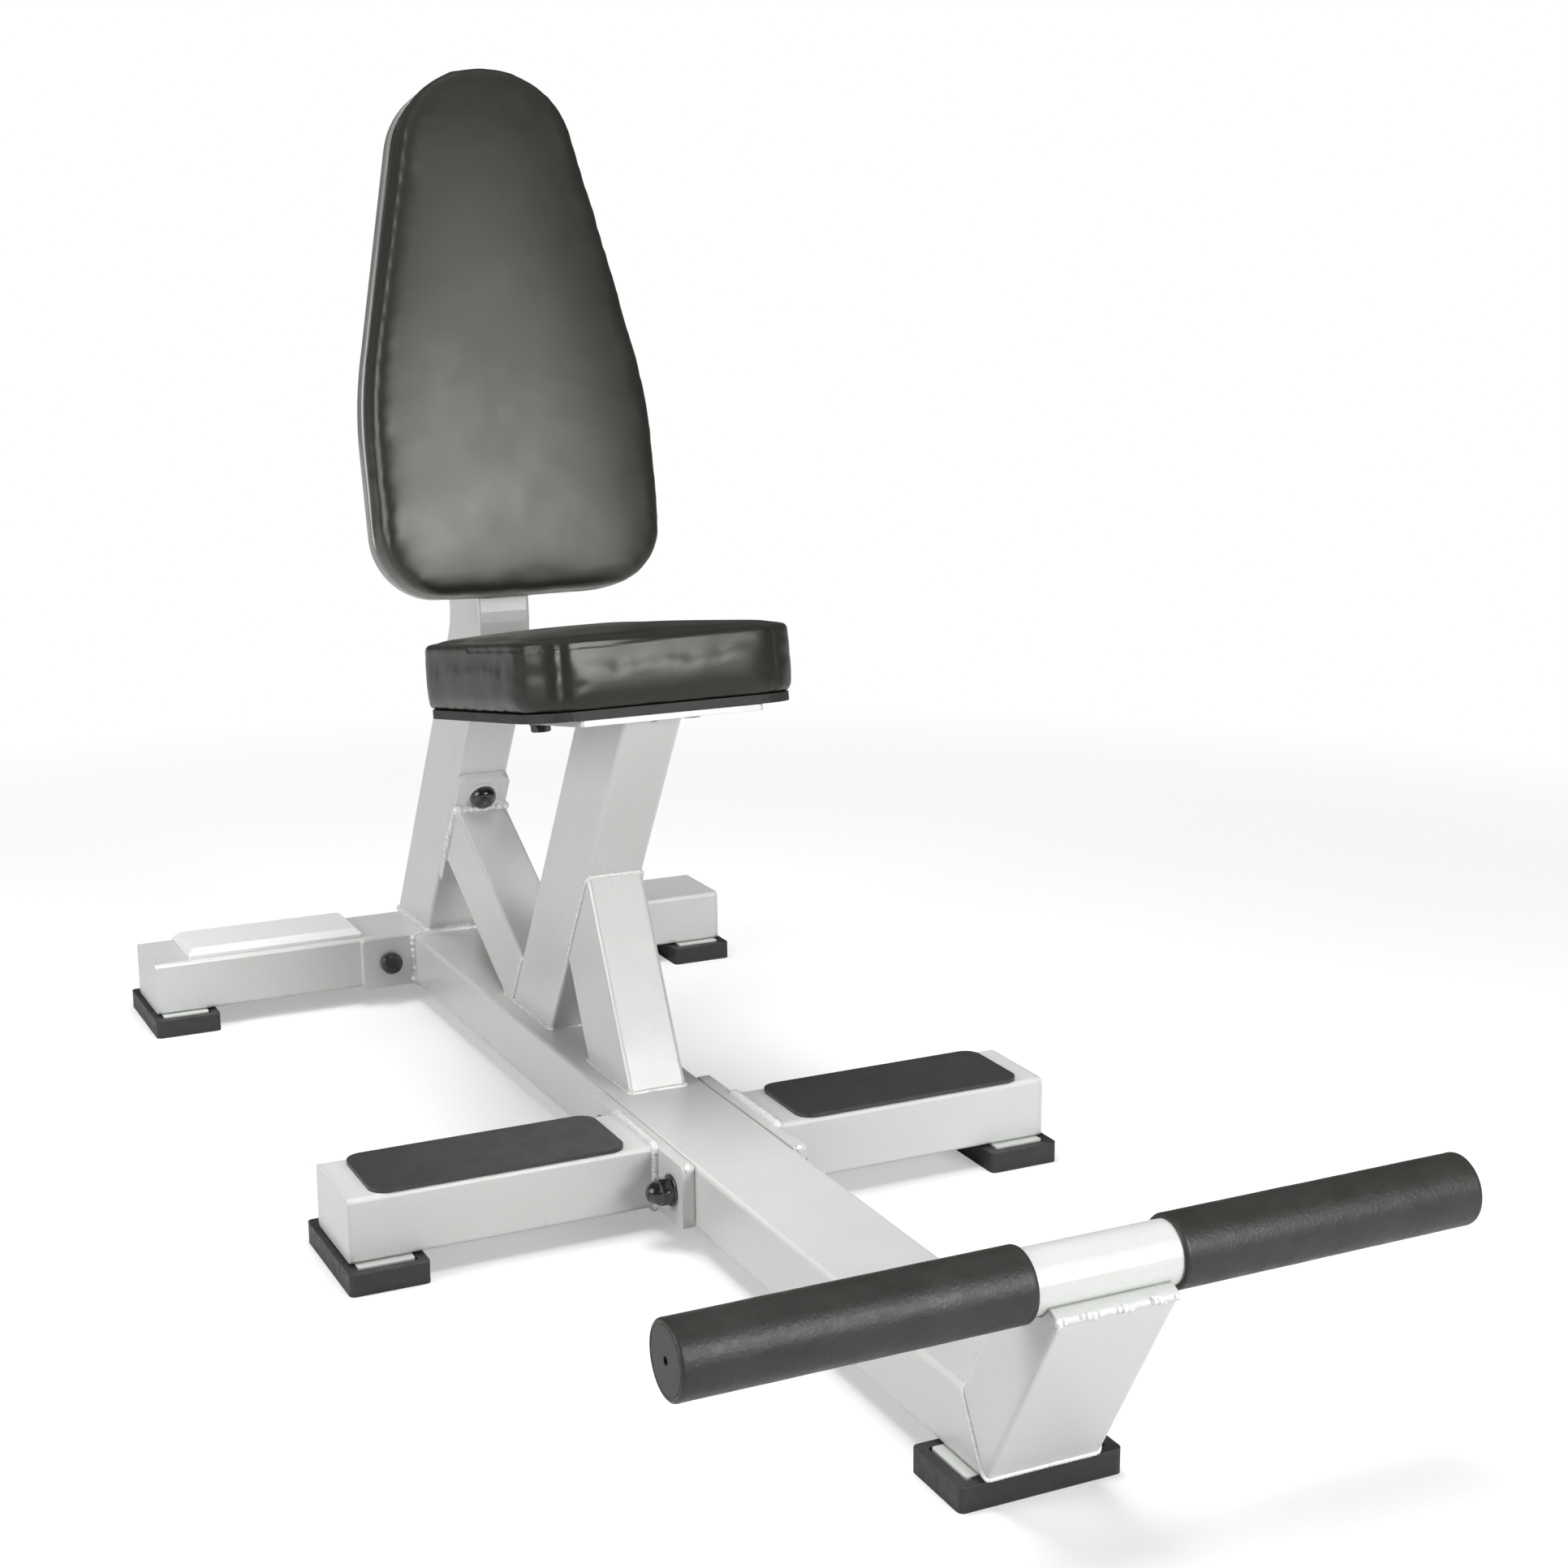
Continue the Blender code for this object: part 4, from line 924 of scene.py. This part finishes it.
def ripple(points, size, seed=0.0):
    """Smooth noise at each point, from -1 to 1, with waves about size metres long."""
    shift = Vector((seed, seed * 0.37, seed * 0.71))
    return np.array([noise.noise(Vector(p) / size + shift) for p in points])


def hill(value, middle, width):
    """1 where the value is in the middle, falling off smoothly over the width."""
    return np.exp(-(((value - middle) / width) ** 2))


def ramp(value, zero, one):
    """From 0 to 1 as the value goes from zero to one."""
    return np.clip((value - zero) / (one - zero), 0, 1)


print("point helpers ready")

# %% Helpers that stuff a cushion
NET_SIZE = 0.0048
BLOW_FRAMES = 20
CLOTH = {
    "quality": 6, "mass": 0.4, "tension_stiffness": 22, "compression_stiffness": 22,
    "shear_stiffness": 12, "bending_stiffness": 6, "air_damping": 2, "use_pressure": True,
    "uniform_pressure_force": 4.0, "vertex_group_mass": "pins",
}


def bake_shape(made):
    """Replaces the object's mesh with what its modifiers make."""
    graph = bpy.context.evaluated_depsgraph_get()
    mesh = bpy.data.meshes.new_from_object(made.evaluated_get(graph), depsgraph=graph)
    made.modifiers.clear()
    made.data = mesh
    return made


def add_smoothing(made, rounds, group=""):
    """Evens out folds, all over or where the vertex group says."""
    relax = made.modifiers.new("relax", "SMOOTH")
    relax.factor = 0.5
    relax.iterations = rounds
    relax.vertex_group = group


def start_shape(node, draw_in, rounds):
    """The CAD cushion, drawn in along its normals, as an even net."""
    solid = bmesh.new()
    solid.from_mesh(nodes[node].data)
    bmesh.ops.remove_doubles(solid, verts=solid.verts[:], dist=1e-5)
    bmesh.ops.recalc_face_normals(solid, faces=solid.faces[:])
    for v in solid.verts:
        v.co -= v.normal * draw_in
    mesh = bpy.data.meshes.new(node + "_net")
    solid.to_mesh(mesh)
    solid.free()
    made = bpy.data.objects.new(node + "_net", mesh)
    bpy.context.scene.collection.objects.link(made)
    net = made.modifiers.new("net", "REMESH")
    net.mode = "VOXEL"
    net.voxel_size = NET_SIZE
    add_smoothing(made, rounds)
    return bake_shape(made)


def blow_up(made, held, cap):
    """Runs the net as cloth under pressure, with the held points pinned."""
    pins = made.vertex_groups.new(name="pins")
    pins.add([int(i) for i in np.flatnonzero(held)], 1.0, "REPLACE")
    cloth = made.modifiers.new("vinyl", "CLOTH")
    for key, value in CLOTH.items():
        setattr(cloth.settings, key, value)
    cloth.settings.effector_weights.gravity = 0
    cloth.collision_settings.use_collision = False
    cloth.point_cache.frame_start = 1
    cloth.point_cache.frame_end = BLOW_FRAMES
    before = points_of(made.data)
    for frame_number in range(1, BLOW_FRAMES + 1):
        bpy.context.scene.frame_set(frame_number)
    graph = bpy.context.evaluated_depsgraph_get()
    after = points_of(made.evaluated_get(graph).data)
    made.modifiers.clear()
    made.vertex_groups.clear()
    bpy.context.scene.frame_set(1)
    moved = after - before
    far = np.linalg.norm(moved, axis=1)
    kept = cap * np.tanh(far / cap) / np.maximum(far, 1e-9)
    set_points(made.data, before + moved * kept[:, None])
    print(made.name, "blown up by", round(float(far.max()), 4), "m before the cap")


def finer(made, rounds, face=None, face_rounds=0):
    """Evens out the finest folds, and the face more, then subdivides for the creases."""
    add_smoothing(made, rounds)
    if face is not None:
        group = made.vertex_groups.new(name="face")
        for i in np.flatnonzero(face):
            group.add([int(i)], float(face[i]), "REPLACE")
        add_smoothing(made, face_rounds, "face")
    made.modifiers.new("finer", "SUBSURF").levels = 1
    return bake_shape(made)


def fit_to_solid(made, node, axes, spare):
    """Stretches the stuffed shape to the CAD cushion's size, and a hair over at its sides."""
    points = axes.local(points_of(made.data))
    solid = axes.local(points_of(nodes[node].data))
    low, high = points.min(axis=0), points.max(axis=0)
    share = (points - low) / (high - low)
    extra = np.array((spare, spare, 0))
    goal_low, goal_high = solid.min(axis=0) - extra, solid.max(axis=0) + extra
    set_points(made.data, axes.world(goal_low + share * (goal_high - goal_low)))


def cover(made, name, finish):
    """Names a finished cushion and covers it with its vinyl."""
    made.name = name
    made.data.materials.clear()
    made.data.materials.append(finish)
    made.data.shade_smooth()
    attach(made, "bench")
    print(name, "has", len(made.data.vertices), "points")


# %% Seat cushion
SEAT_BOARD = 0.009
SEAT_THICK = 0.076
SEAT_HALF_X, SEAT_HALF_Y, SEAT_CORNER = 0.141, 0.176, 0.047
SEAT_AHEAD, SEAT_HEIGHT = 0.509, 0.4423
SEAT_PINNED, SEAT_CAP = 0.010, 0.0013
seat_up = leaning(SEAT_TILT)
seat_foot = Vector((0, RAIL_REAR - SEAT_AHEAD, SEAT_HEIGHT))
seat_axes = Pad(seat_foot + seat_up * SEAT_BOARD, facing(SEAT_TILT), seat_up)
seat = start_shape("seat_cushion", 0.0010, 1)
blow_up(seat, seat_axes.local(points_of(seat.data))[:, 2] < SEAT_PINNED, SEAT_CAP)
seat = finer(seat, 2)

# %% [markdown]
# The seat's upper edge is tighter than the CAD solid's, because the vinyl is pulled hard over
# it. Blowing the net up only makes it rounder, so a formula tightens it instead: points near
# the edge are pushed out from the round edge towards a square one.

# %% Tighter upper edge of the seat
SEAT_RIM = 0.069
EDGE_ROUND = 0.017
EDGE_POWER = 5.0


def past_corner(place):
    """How far each point is past the straight sides, across and along. Inside it is negative."""
    return (
        np.abs(place[:, 0]) - (SEAT_HALF_X - SEAT_CORNER),
        np.abs(place[:, 1]) - (SEAT_HALF_Y - SEAT_CORNER),
    )


place = seat_axes.local(points_of(seat.data))
over_x, over_y = (
    np.maximum(over, 0) * np.sign(side) for over, side in zip(past_corner(place), place.T)
)
beyond = np.maximum(np.hypot(over_x, over_y), 1e-9)
u = np.clip((beyond - SEAT_CORNER + EDGE_ROUND) / EDGE_ROUND, 1e-6, None)
v = np.clip((place[:, 2] - SEAT_RIM + EDGE_ROUND) / EDGE_ROUND, 1e-6, None)
gain = np.hypot(u, v) / (u**EDGE_POWER + v**EDGE_POWER) ** (1 / EDGE_POWER) - 1
outward = u * gain * EDGE_ROUND / beyond
place[:, 0] += outward * over_x
place[:, 1] += outward * over_y
place[:, 2] += v * gain * EDGE_ROUND
set_points(seat.data, seat_axes.world(place))
print("seat edge tightened by up to", round(float((v * gain).max() * EDGE_ROUND), 4), "m")

# %% [markdown]
# The seat's vinyl is pulled hardest at its corners. That leaves an upright crease beside
# each corner, a shallow dimple half way down it, and small gathers where it is stapled. A
# soft fold also runs along the top edge from the front left corner and fades out. Each line
# of push below is one of these: how deep it is, where it lies and how wide it is, in metres,
# or in degrees round the corner.

# %% Creases of the seat
place = seat_axes.local(points_of(seat.data))
x, y, h = place.T
corner_x, corner_y = past_corner(place)
round_x, round_y = np.maximum(corner_x, 0), np.maximum(corner_y, 0)
round_part = (corner_x > 0) & (corner_y > 0)
angle = np.degrees(np.arctan2(round_y, np.maximum(corner_x, 1e-6)))
beyond = np.maximum(np.maximum(corner_x, corner_y), np.hypot(round_x, round_y))
on_side = ramp(beyond, SEAT_CORNER - 0.010, SEAT_CORNER - 0.004)
rim = ramp(h, 0, 0.006) * ramp(h, SEAT_THICK, SEAT_THICK - 0.012)
along_front = ramp(x, 0.055, -0.035) * (y < 0)
fold_line = SEAT_THICK - 0.0155 + 0.05 * np.clip(x + 0.06, 0, 0.1)
push = np.zeros(len(place))
# upright creases at 74 degrees round each corner, fainter ones at 14, and the dimple
push -= 0.0016 * hill(angle, 74, 6) * on_side * rim * (corner_x > 0)
push -= 0.0004 * hill(angle, 14, 7) * on_side * rim * (corner_y > 0)
push -= 0.0007 * hill(h, 0.036, 0.006) * hill(angle, 48, 26) * on_side * round_part
# gathers at the staples, then slow waves on the sides and on the top
push += 0.0008 * ripple(place * (1, 1, 0.5), 0.011, 3) * on_side * hill(h, 0.0, 0.009)
push += 0.0006 * ripple(place, 0.045, 5) * on_side
push += 0.0009 * ripple(place * (1, 1, 0), 0.075, 7) * hill(h, SEAT_THICK, 0.02)
# the fold along the top edge: a groove, and a swelling over it
push -= 0.0010 * hill(h, fold_line, 0.0016) * on_side * along_front
push += 0.0007 * hill(h, fold_line + 0.0032, 0.0018) * on_side * along_front
push_out(seat.data, push)
fit_to_solid(seat, "seat_cushion", seat_axes, 0.0010)
cover(seat, "seat_cushion_vinyl", seat_vinyl)
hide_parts("seat_cushion")

# %% [markdown]
# The back pad is stuffed in the same way. Its face has to be calm, so it is evened out more
# than its edge. That needs the distance from the pad's outline, so the outline is drawn here
# as the upholsterer cut it: broad and round below, with sides that narrow to a round top.

# %% Outline of the back pad
def round_corners(corners, steps=14):
    """A closed outline from (x, y, radius) corners."""
    line = []
    for i, (cx, cy, radius) in enumerate(corners):
        here = Vector((cx, cy))
        to_last = (Vector(corners[i - 1][:2]) - here).normalized()
        to_next = (Vector(corners[(i + 1) % len(corners)][:2]) - here).normalized()
        half = to_last.angle(to_next) / 2
        middle = here + (to_last + to_next).normalized() * radius / math.sin(half)
        start = here + to_last * radius / math.tan(half) - middle
        for k in range(steps + 1):
            line.append(middle + Matrix.Rotation((math.pi - 2 * half) * k / steps, 2) @ start)
    return line


def edge_distance(outline, flat):
    """Distance from each point to the outline, and how far round it the nearest place is."""
    a = np.array(outline)
    b = np.roll(a, -1, axis=0)
    length = np.linalg.norm(b - a, axis=1)
    start = np.concatenate([[0], np.cumsum(length)[:-1]])
    best = np.full(len(flat), 9.0)
    where = np.zeros(len(flat))
    for p, q, size, s in zip(a, b, length, start):
        if size < 1e-7:
            continue
        t = np.clip(((flat - p) @ (q - p)) / size**2, 0, 1)
        gap = np.linalg.norm(flat - p - t[:, None] * (q - p), axis=1)
        closer = gap < best
        best[closer] = gap[closer]
        where[closer] = (s + t * size)[closer]
    return best, where


BACK_RIGHT = [(0.155, 0, 0.070), (0.155, 0.208, 0.450), (0.0794, 0.552, 0.092)]
back_outline = round_corners(BACK_RIGHT + [(-cx, cy, r) for cx, cy, r in reversed(BACK_RIGHT)])
print("back outline:", len(back_outline), "points")

# %% Back cushion
BACK_BOARD = 0.020
BACK_AHEAD, BACK_HEIGHT = 0.2419, 0.520
BACK_PINNED, BACK_CAP = 0.008, 0.0014
back_up, back_rear = leaning(BACK_LEAN), facing(BACK_LEAN)
back_foot = Vector((0, RAIL_REAR - BACK_AHEAD, BACK_HEIGHT))
back_axes = Pad(back_foot - back_rear * BACK_BOARD, back_up, -back_rear)
back_pad = start_shape("back_cushion", 0.0012, 3)
blow_up(back_pad, back_axes.local(points_of(back_pad.data))[:, 2] < BACK_PINNED, BACK_CAP)

# %% [markdown]
# Blown up on its own, a long pad ends in a ridge along its middle. The crown of the face
# follows a formula instead: a soft shoulder near the edge, then a long shallow rise. Its
# height comes from the distance to the outline, in a form that has no ridge either.

# %% Crown of the back pad
CROWN_REACH = 0.115
CROWN_RISE = 0.0040
SHOULDER_RISE = 0.0050
SHOULDER_WIDTH = 0.045
OUTLINE_STEP = 0.005
FACE_FROM = 0.030


def soft_distance(outline, flat):
    """Distance to the outline, but with no ridge where two sides are equally far."""
    total = np.zeros(len(flat))
    for p in np.array(walk(outline, OUTLINE_STEP)):
        total += OUTLINE_STEP / np.maximum(((flat - p) ** 2).sum(axis=1), 1e-6) ** 2
    return (total / (math.pi / 2)) ** (-1 / 3)


def crown_height(distance):
    """A soft shoulder near the edge, and a long shallow rise to the middle."""
    reach = np.minimum(distance, CROWN_REACH) / CROWN_REACH
    shoulder = SHOULDER_RISE * (1 - np.exp(-distance / SHOULDER_WIDTH))
    return shoulder + CROWN_RISE * (1 - (1 - reach) ** 2)


place = back_axes.local(points_of(back_pad.data))
edge, _ = edge_distance(back_outline, place[:, :2])
goal = crown_height(soft_distance(back_outline, place[:, :2]))
on_face = place[:, 2] > FACE_FROM
shoulder = on_face & (edge > 0.012) & (edge < 0.030)
goal += np.median(place[shoulder, 2] - goal[shoulder])
face = ramp(edge, 0.008, 0.030) * on_face
place[:, 2] += face * (goal - place[:, 2])
set_points(back_pad.data, back_axes.world(place))
back_pad = finer(back_pad, 5, face, 12)
print("crown between", round(float(goal.min()), 4), "and", round(float(goal.max()), 4), "m")

# %% [markdown]
# The back pad's edge is not quite even: the foam under it gives soft waves, and the vinyl
# gathers in small puckers where it goes down behind the board. On its board the pad sits a
# little to the right, and leans that way, as on the real bench.

# %% Creases of the back pad
BACK_ASIDE = 0.0015
BACK_SKEW = 0.008
BACK_STILL = 0.20
place = back_axes.local(points_of(back_pad.data))
edge, round_at = edge_distance(back_outline, place[:, :2])
h = place[:, 2]
loop = np.stack([round_at, np.zeros(len(h)), np.zeros(len(h))], axis=1)
near_edge = ramp(edge, 0.024, 0.008)
# waves of the foam, finer ones of the vinyl, puckers behind, and slow waves on the face
push = 0.0011 * ripple(loop, 0.034, 2) * near_edge * hill(h, 0.040, 0.016)
push += 0.0005 * ripple(loop, 0.011, 9) * near_edge * hill(h, 0.030, 0.016)
push += 0.0010 * ripple(loop, 0.0075, 4) * near_edge * hill(h, 0.0, 0.010)
push += 0.0005 * ripple(place * (1, 1, 0), 0.130, 6) * (h > FACE_FROM)
push_out(back_pad.data, push)
fit_to_solid(back_pad, "back_cushion", back_axes, 0.0025)
place = back_axes.local(points_of(back_pad.data))
place[:, 0] += BACK_ASIDE + BACK_SKEW * (place[:, 1] - BACK_STILL)
set_points(back_pad.data, back_axes.world(place))
cover(back_pad, "back_cushion_vinyl", black_vinyl)
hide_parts("back_cushion")

# %% [markdown]
# ## Wrapped board and hem of the back pad
# The back pad's board is wrapped in its own strip of vinyl, so its edge is smooth and round.
# The strip is folded over behind, where it ends in a slightly puckered hem. Between the board
# and the cushion a thin fold of vinyl peeps out of the groove. The board is a stack of
# outlines, each drawn in a little where the edge is rounded.

# %% Wrapped board
BOARD_EDGE = 0.0042
BOARD_INSET = 0.001
EDGE_STEPS = 6


def drawn_in(outline, distance):
    """The outline moved inwards by a distance, point by point."""
    moved = []
    for i, p in enumerate(outline):
        tangent = ahead_at(outline, i)
        moved.append(p + Vector((-tangent.y, tangent.x)) * distance)
    return moved


def on_back(p, out):
    """World point from a point of the back pad's outline and its height off the board's back."""
    return back_foot + Vector((p.x, 0, 0)) + back_up * p.y - back_rear * out


even_outline = walk(back_outline, 0.006)
quarter = [
    (BOARD_EDGE * (1 - math.sin(t)), BOARD_EDGE * (1 - math.cos(t)))
    for t in (math.pi / 2 * k / EDGE_STEPS for k in range(EDGE_STEPS + 1))
]
profile = [(BOARD_INSET + a, 0.0003 + b) for a, b in quarter]
profile += [(BOARD_INSET + b, BACK_BOARD - 0.0004 - a) for a, b in quarter]
board_rings = [[on_back(p, out) for p in drawn_in(even_outline, inset)] for inset, out in profile]
wrapped = add_piece("back_board_wrapped", *skin(board_rings), wrap_vinyl_painted_reflection, "painted_board")
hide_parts("back_board")

# %% Fold in the groove
FOLD_RADIUS = 0.0017
fold_line = [
    on_back(p, BACK_BOARD + 0.0012 + 0.0008 * noise.noise(Vector((i * 0.09, 1, 0))))
    for i, p in enumerate(drawn_in(even_outline, 0.0052))
]
fold_rings = [
    round_ring(fold_line, i, Vector(), FOLD_RADIUS * (1 + 0.12 * noise.noise(point * 60)), 8)
    for i, point in enumerate(fold_line)
]
add_piece("back_fold", *skin(align_rings(fold_rings), True), black_vinyl, "black_vinyl")

# %% Folded hem behind the board
HEM_WIDTH = 0.027
hem_rings = []
for inset, out in (
    (0.0045, 0.0002), (0.0050, -0.0010), (HEM_WIDTH - 0.001, -0.0011), (HEM_WIDTH, 0.0001),
):
    ring = []
    for i, p in enumerate(drawn_in(even_outline, inset)):
        pucker = 0.0004 * noise.noise(Vector((i * 0.9, inset * 40, 2))) if out < 0 else 0
        ring.append(on_back(p, out - abs(pucker)))
    hem_rings.append(ring)
add_piece("back_hem", *skin(hem_rings, True), black_vinyl, "black_vinyl")
print("board wrapped in", len(even_outline), "steps")

# %% [markdown]
# ## Studio
# The floor is a wide pale sheet and the background is white. What the camera sees of the
# floor is part paper, part glow, so that it stays white where it is lit and keeps a soft
# shadow where the bench stands. Further off it is all glow. A few lamps could both light the
# bench and show in its gloss, but then neither can be set alone. Here three soft lamps, in
# front, on the left and on top, only light. Two cards, in front and on the left, only show in
# the gloss: the front one is the broad grey patch that the vinyl mirrors.

# %% Floor
FLOOR_RADIUS = 9.0
FLOOR_SIDES = 96
disc = bmesh.new()
bmesh.ops.create_circle(
    disc, cap_ends=True, cap_tris=True, segments=FLOOR_SIDES, radius=FLOOR_RADIUS
)
floor_mesh = bpy.data.meshes.new("floor")
disc.to_mesh(floor_mesh)
disc.free()
floor = bpy.data.objects.new("floor", floor_mesh)
bpy.context.scene.collection.objects.link(floor)


# %% Helpers for the floor and the world
def plain(owner, kind, level, **values):
    """A shader of one even colour, from 0 for black to 1 for white."""
    return add_node(owner, kind, Color=(level, level, level, 1), **values).outputs[0]


def blend(owner, mask, black, white):
    """One shader where the mask is 0, and the other where it is 1."""
    links = [(0, mask), (1, black), (2, white)]
    return add_node(owner, "ShaderNodeMixShader", links).outputs[0]


def dim(owner, colour, amount):
    """A colour times an amount."""
    links = [(0, colour), ("Scale", amount)]
    return add_node(owner, "ShaderNodeVectorMath", links, operation="SCALE").outputs[0]


# %% Floor material
UNSEEN_PAPER, SEEN_PAPER = 0.60, 0.57
SEEN_GLOW = 0.36
FAR_SHEEN = 0.50
FAR_FROM, FAR_TO = 1.05, 2.4
floor_paper = bpy.data.materials.new("floor_paper")
floor_paper.use_nodes = True
floor_paper.node_tree.nodes.clear()
place = add_node(floor_paper, "ShaderNodeTexCoord").outputs["Object"]
distance = add_node(floor_paper, "ShaderNodeVectorMath", [(0, place)], operation="LENGTH")
far = spread(floor_paper, distance.outputs["Value"], 0.0, 1.0, FAR_FROM, FAR_TO)
rays = add_node(floor_paper, "ShaderNodeLightPath").outputs
lit = plain(floor_paper, "ShaderNodeBsdfDiffuse", SEEN_PAPER)
glow = plain(floor_paper, "ShaderNodeEmission", 1, Strength=SEEN_GLOW)
seen = add_node(floor_paper, "ShaderNodeAddShader", [(0, lit), (1, glow)]).outputs[0]
seen = blend(floor_paper, far, seen, plain(floor_paper, "ShaderNodeEmission", 1, Strength=1.0))
far_mirrored = add_node(
    floor_paper, "ShaderNodeMath", [(0, far), (1, rays["Is Glossy Ray"])], operation="MULTIPLY"
).outputs[0]
unseen = blend(
    floor_paper, far_mirrored, plain(floor_paper, "ShaderNodeBsdfDiffuse", UNSEEN_PAPER),
    plain(floor_paper, "ShaderNodeEmission", 1, Strength=FAR_SHEEN),
)
both = blend(floor_paper, rays["Is Camera Ray"], unseen, seen)
add_node(floor_paper, "ShaderNodeOutputMaterial", [("Surface", both)])
floor_mesh.materials.append(floor_paper)

# %% World: white to the camera, a dim studio with a bright sweep to everything else
WORLD_STRENGTH = 0.48
GLOSS_SHARE = 0.30
LOW_SKY, HIGH_SKY = (0.10, 0.70), (0.42, 0.26)
world = bpy.data.worlds.new("studio")
world.use_nodes = True
world.node_tree.nodes.clear()
bpy.context.scene.world = world
place = add_node(world, "ShaderNodeTexCoord").outputs["Generated"]
split = add_node(world, "ShaderNodeSeparateXYZ", [(0, place)]).outputs
height = add_node(world, "ShaderNodeValToRGB", [(0, split["Z"])])
for stop, (position, level) in zip(height.color_ramp.elements, (LOW_SKY, HIGH_SKY)):
    stop.position = position
    stop.color = (level, level, level, 1)
# the studio is darker in front, and what the gloss sees of it is darker still
forward = spread(world, split["Y"], 0.30, 1.0, -0.45, 0.15)
rays = add_node(world, "ShaderNodeLightPath").outputs
in_gloss = spread(world, rays["Is Glossy Ray"], 1.0, GLOSS_SHARE, 0.0, 1.0)
sky = dim(world, dim(world, height.outputs["Color"], forward), in_gloss)
studio = add_node(world, "ShaderNodeBackground", [("Color", sky)], Strength=WORLD_STRENGTH)
white = plain(world, "ShaderNodeBackground", 1)
both = blend(world, rays["Is Camera Ray"], studio.outputs[0], white)
add_node(world, "ShaderNodeOutputWorld", [("Surface", both)])

# %% Lamps that only light, and cards that only show in the gloss
for name, place, aim, size, power in (
    ("front_softbox", (1.0, -2.6, 0.95), (0, 0.1, 0.4), (1.2, 0.8), 60),
    ("front_card", (0.60, -2.70, 1.36), (0, 0.2, 0.4), (1.30, 0.95), 44),
    ("left_softbox", (-2.7, 0.1, 1.4), (0, 0.3, 0.4), (1.5, 1.5), 44),
    ("left_card", (-2.6, -0.3, 1.3), (0, 0.2, 0.5), (2.0, 1.6), 34),
    ("top_softbox", (-0.15, 0.15, 3.1), (0, 0.2, 0.1), (1.8, 1.6), 104),
):
    light = bpy.data.lights.new(name, "AREA")
    light.shape = "RECTANGLE"
    light.size, light.size_y = size
    light.energy = power
    lamp = bpy.data.objects.new(name, light)
    lamp.location = place
    lamp.rotation_euler = (Vector(aim) - Vector(place)).to_track_quat("-Z", "Y").to_euler()
    lamp.visible_glossy = name.endswith("card")
    lamp.visible_diffuse = not lamp.visible_glossy
    bpy.context.scene.collection.objects.link(lamp)
print("studio lit")
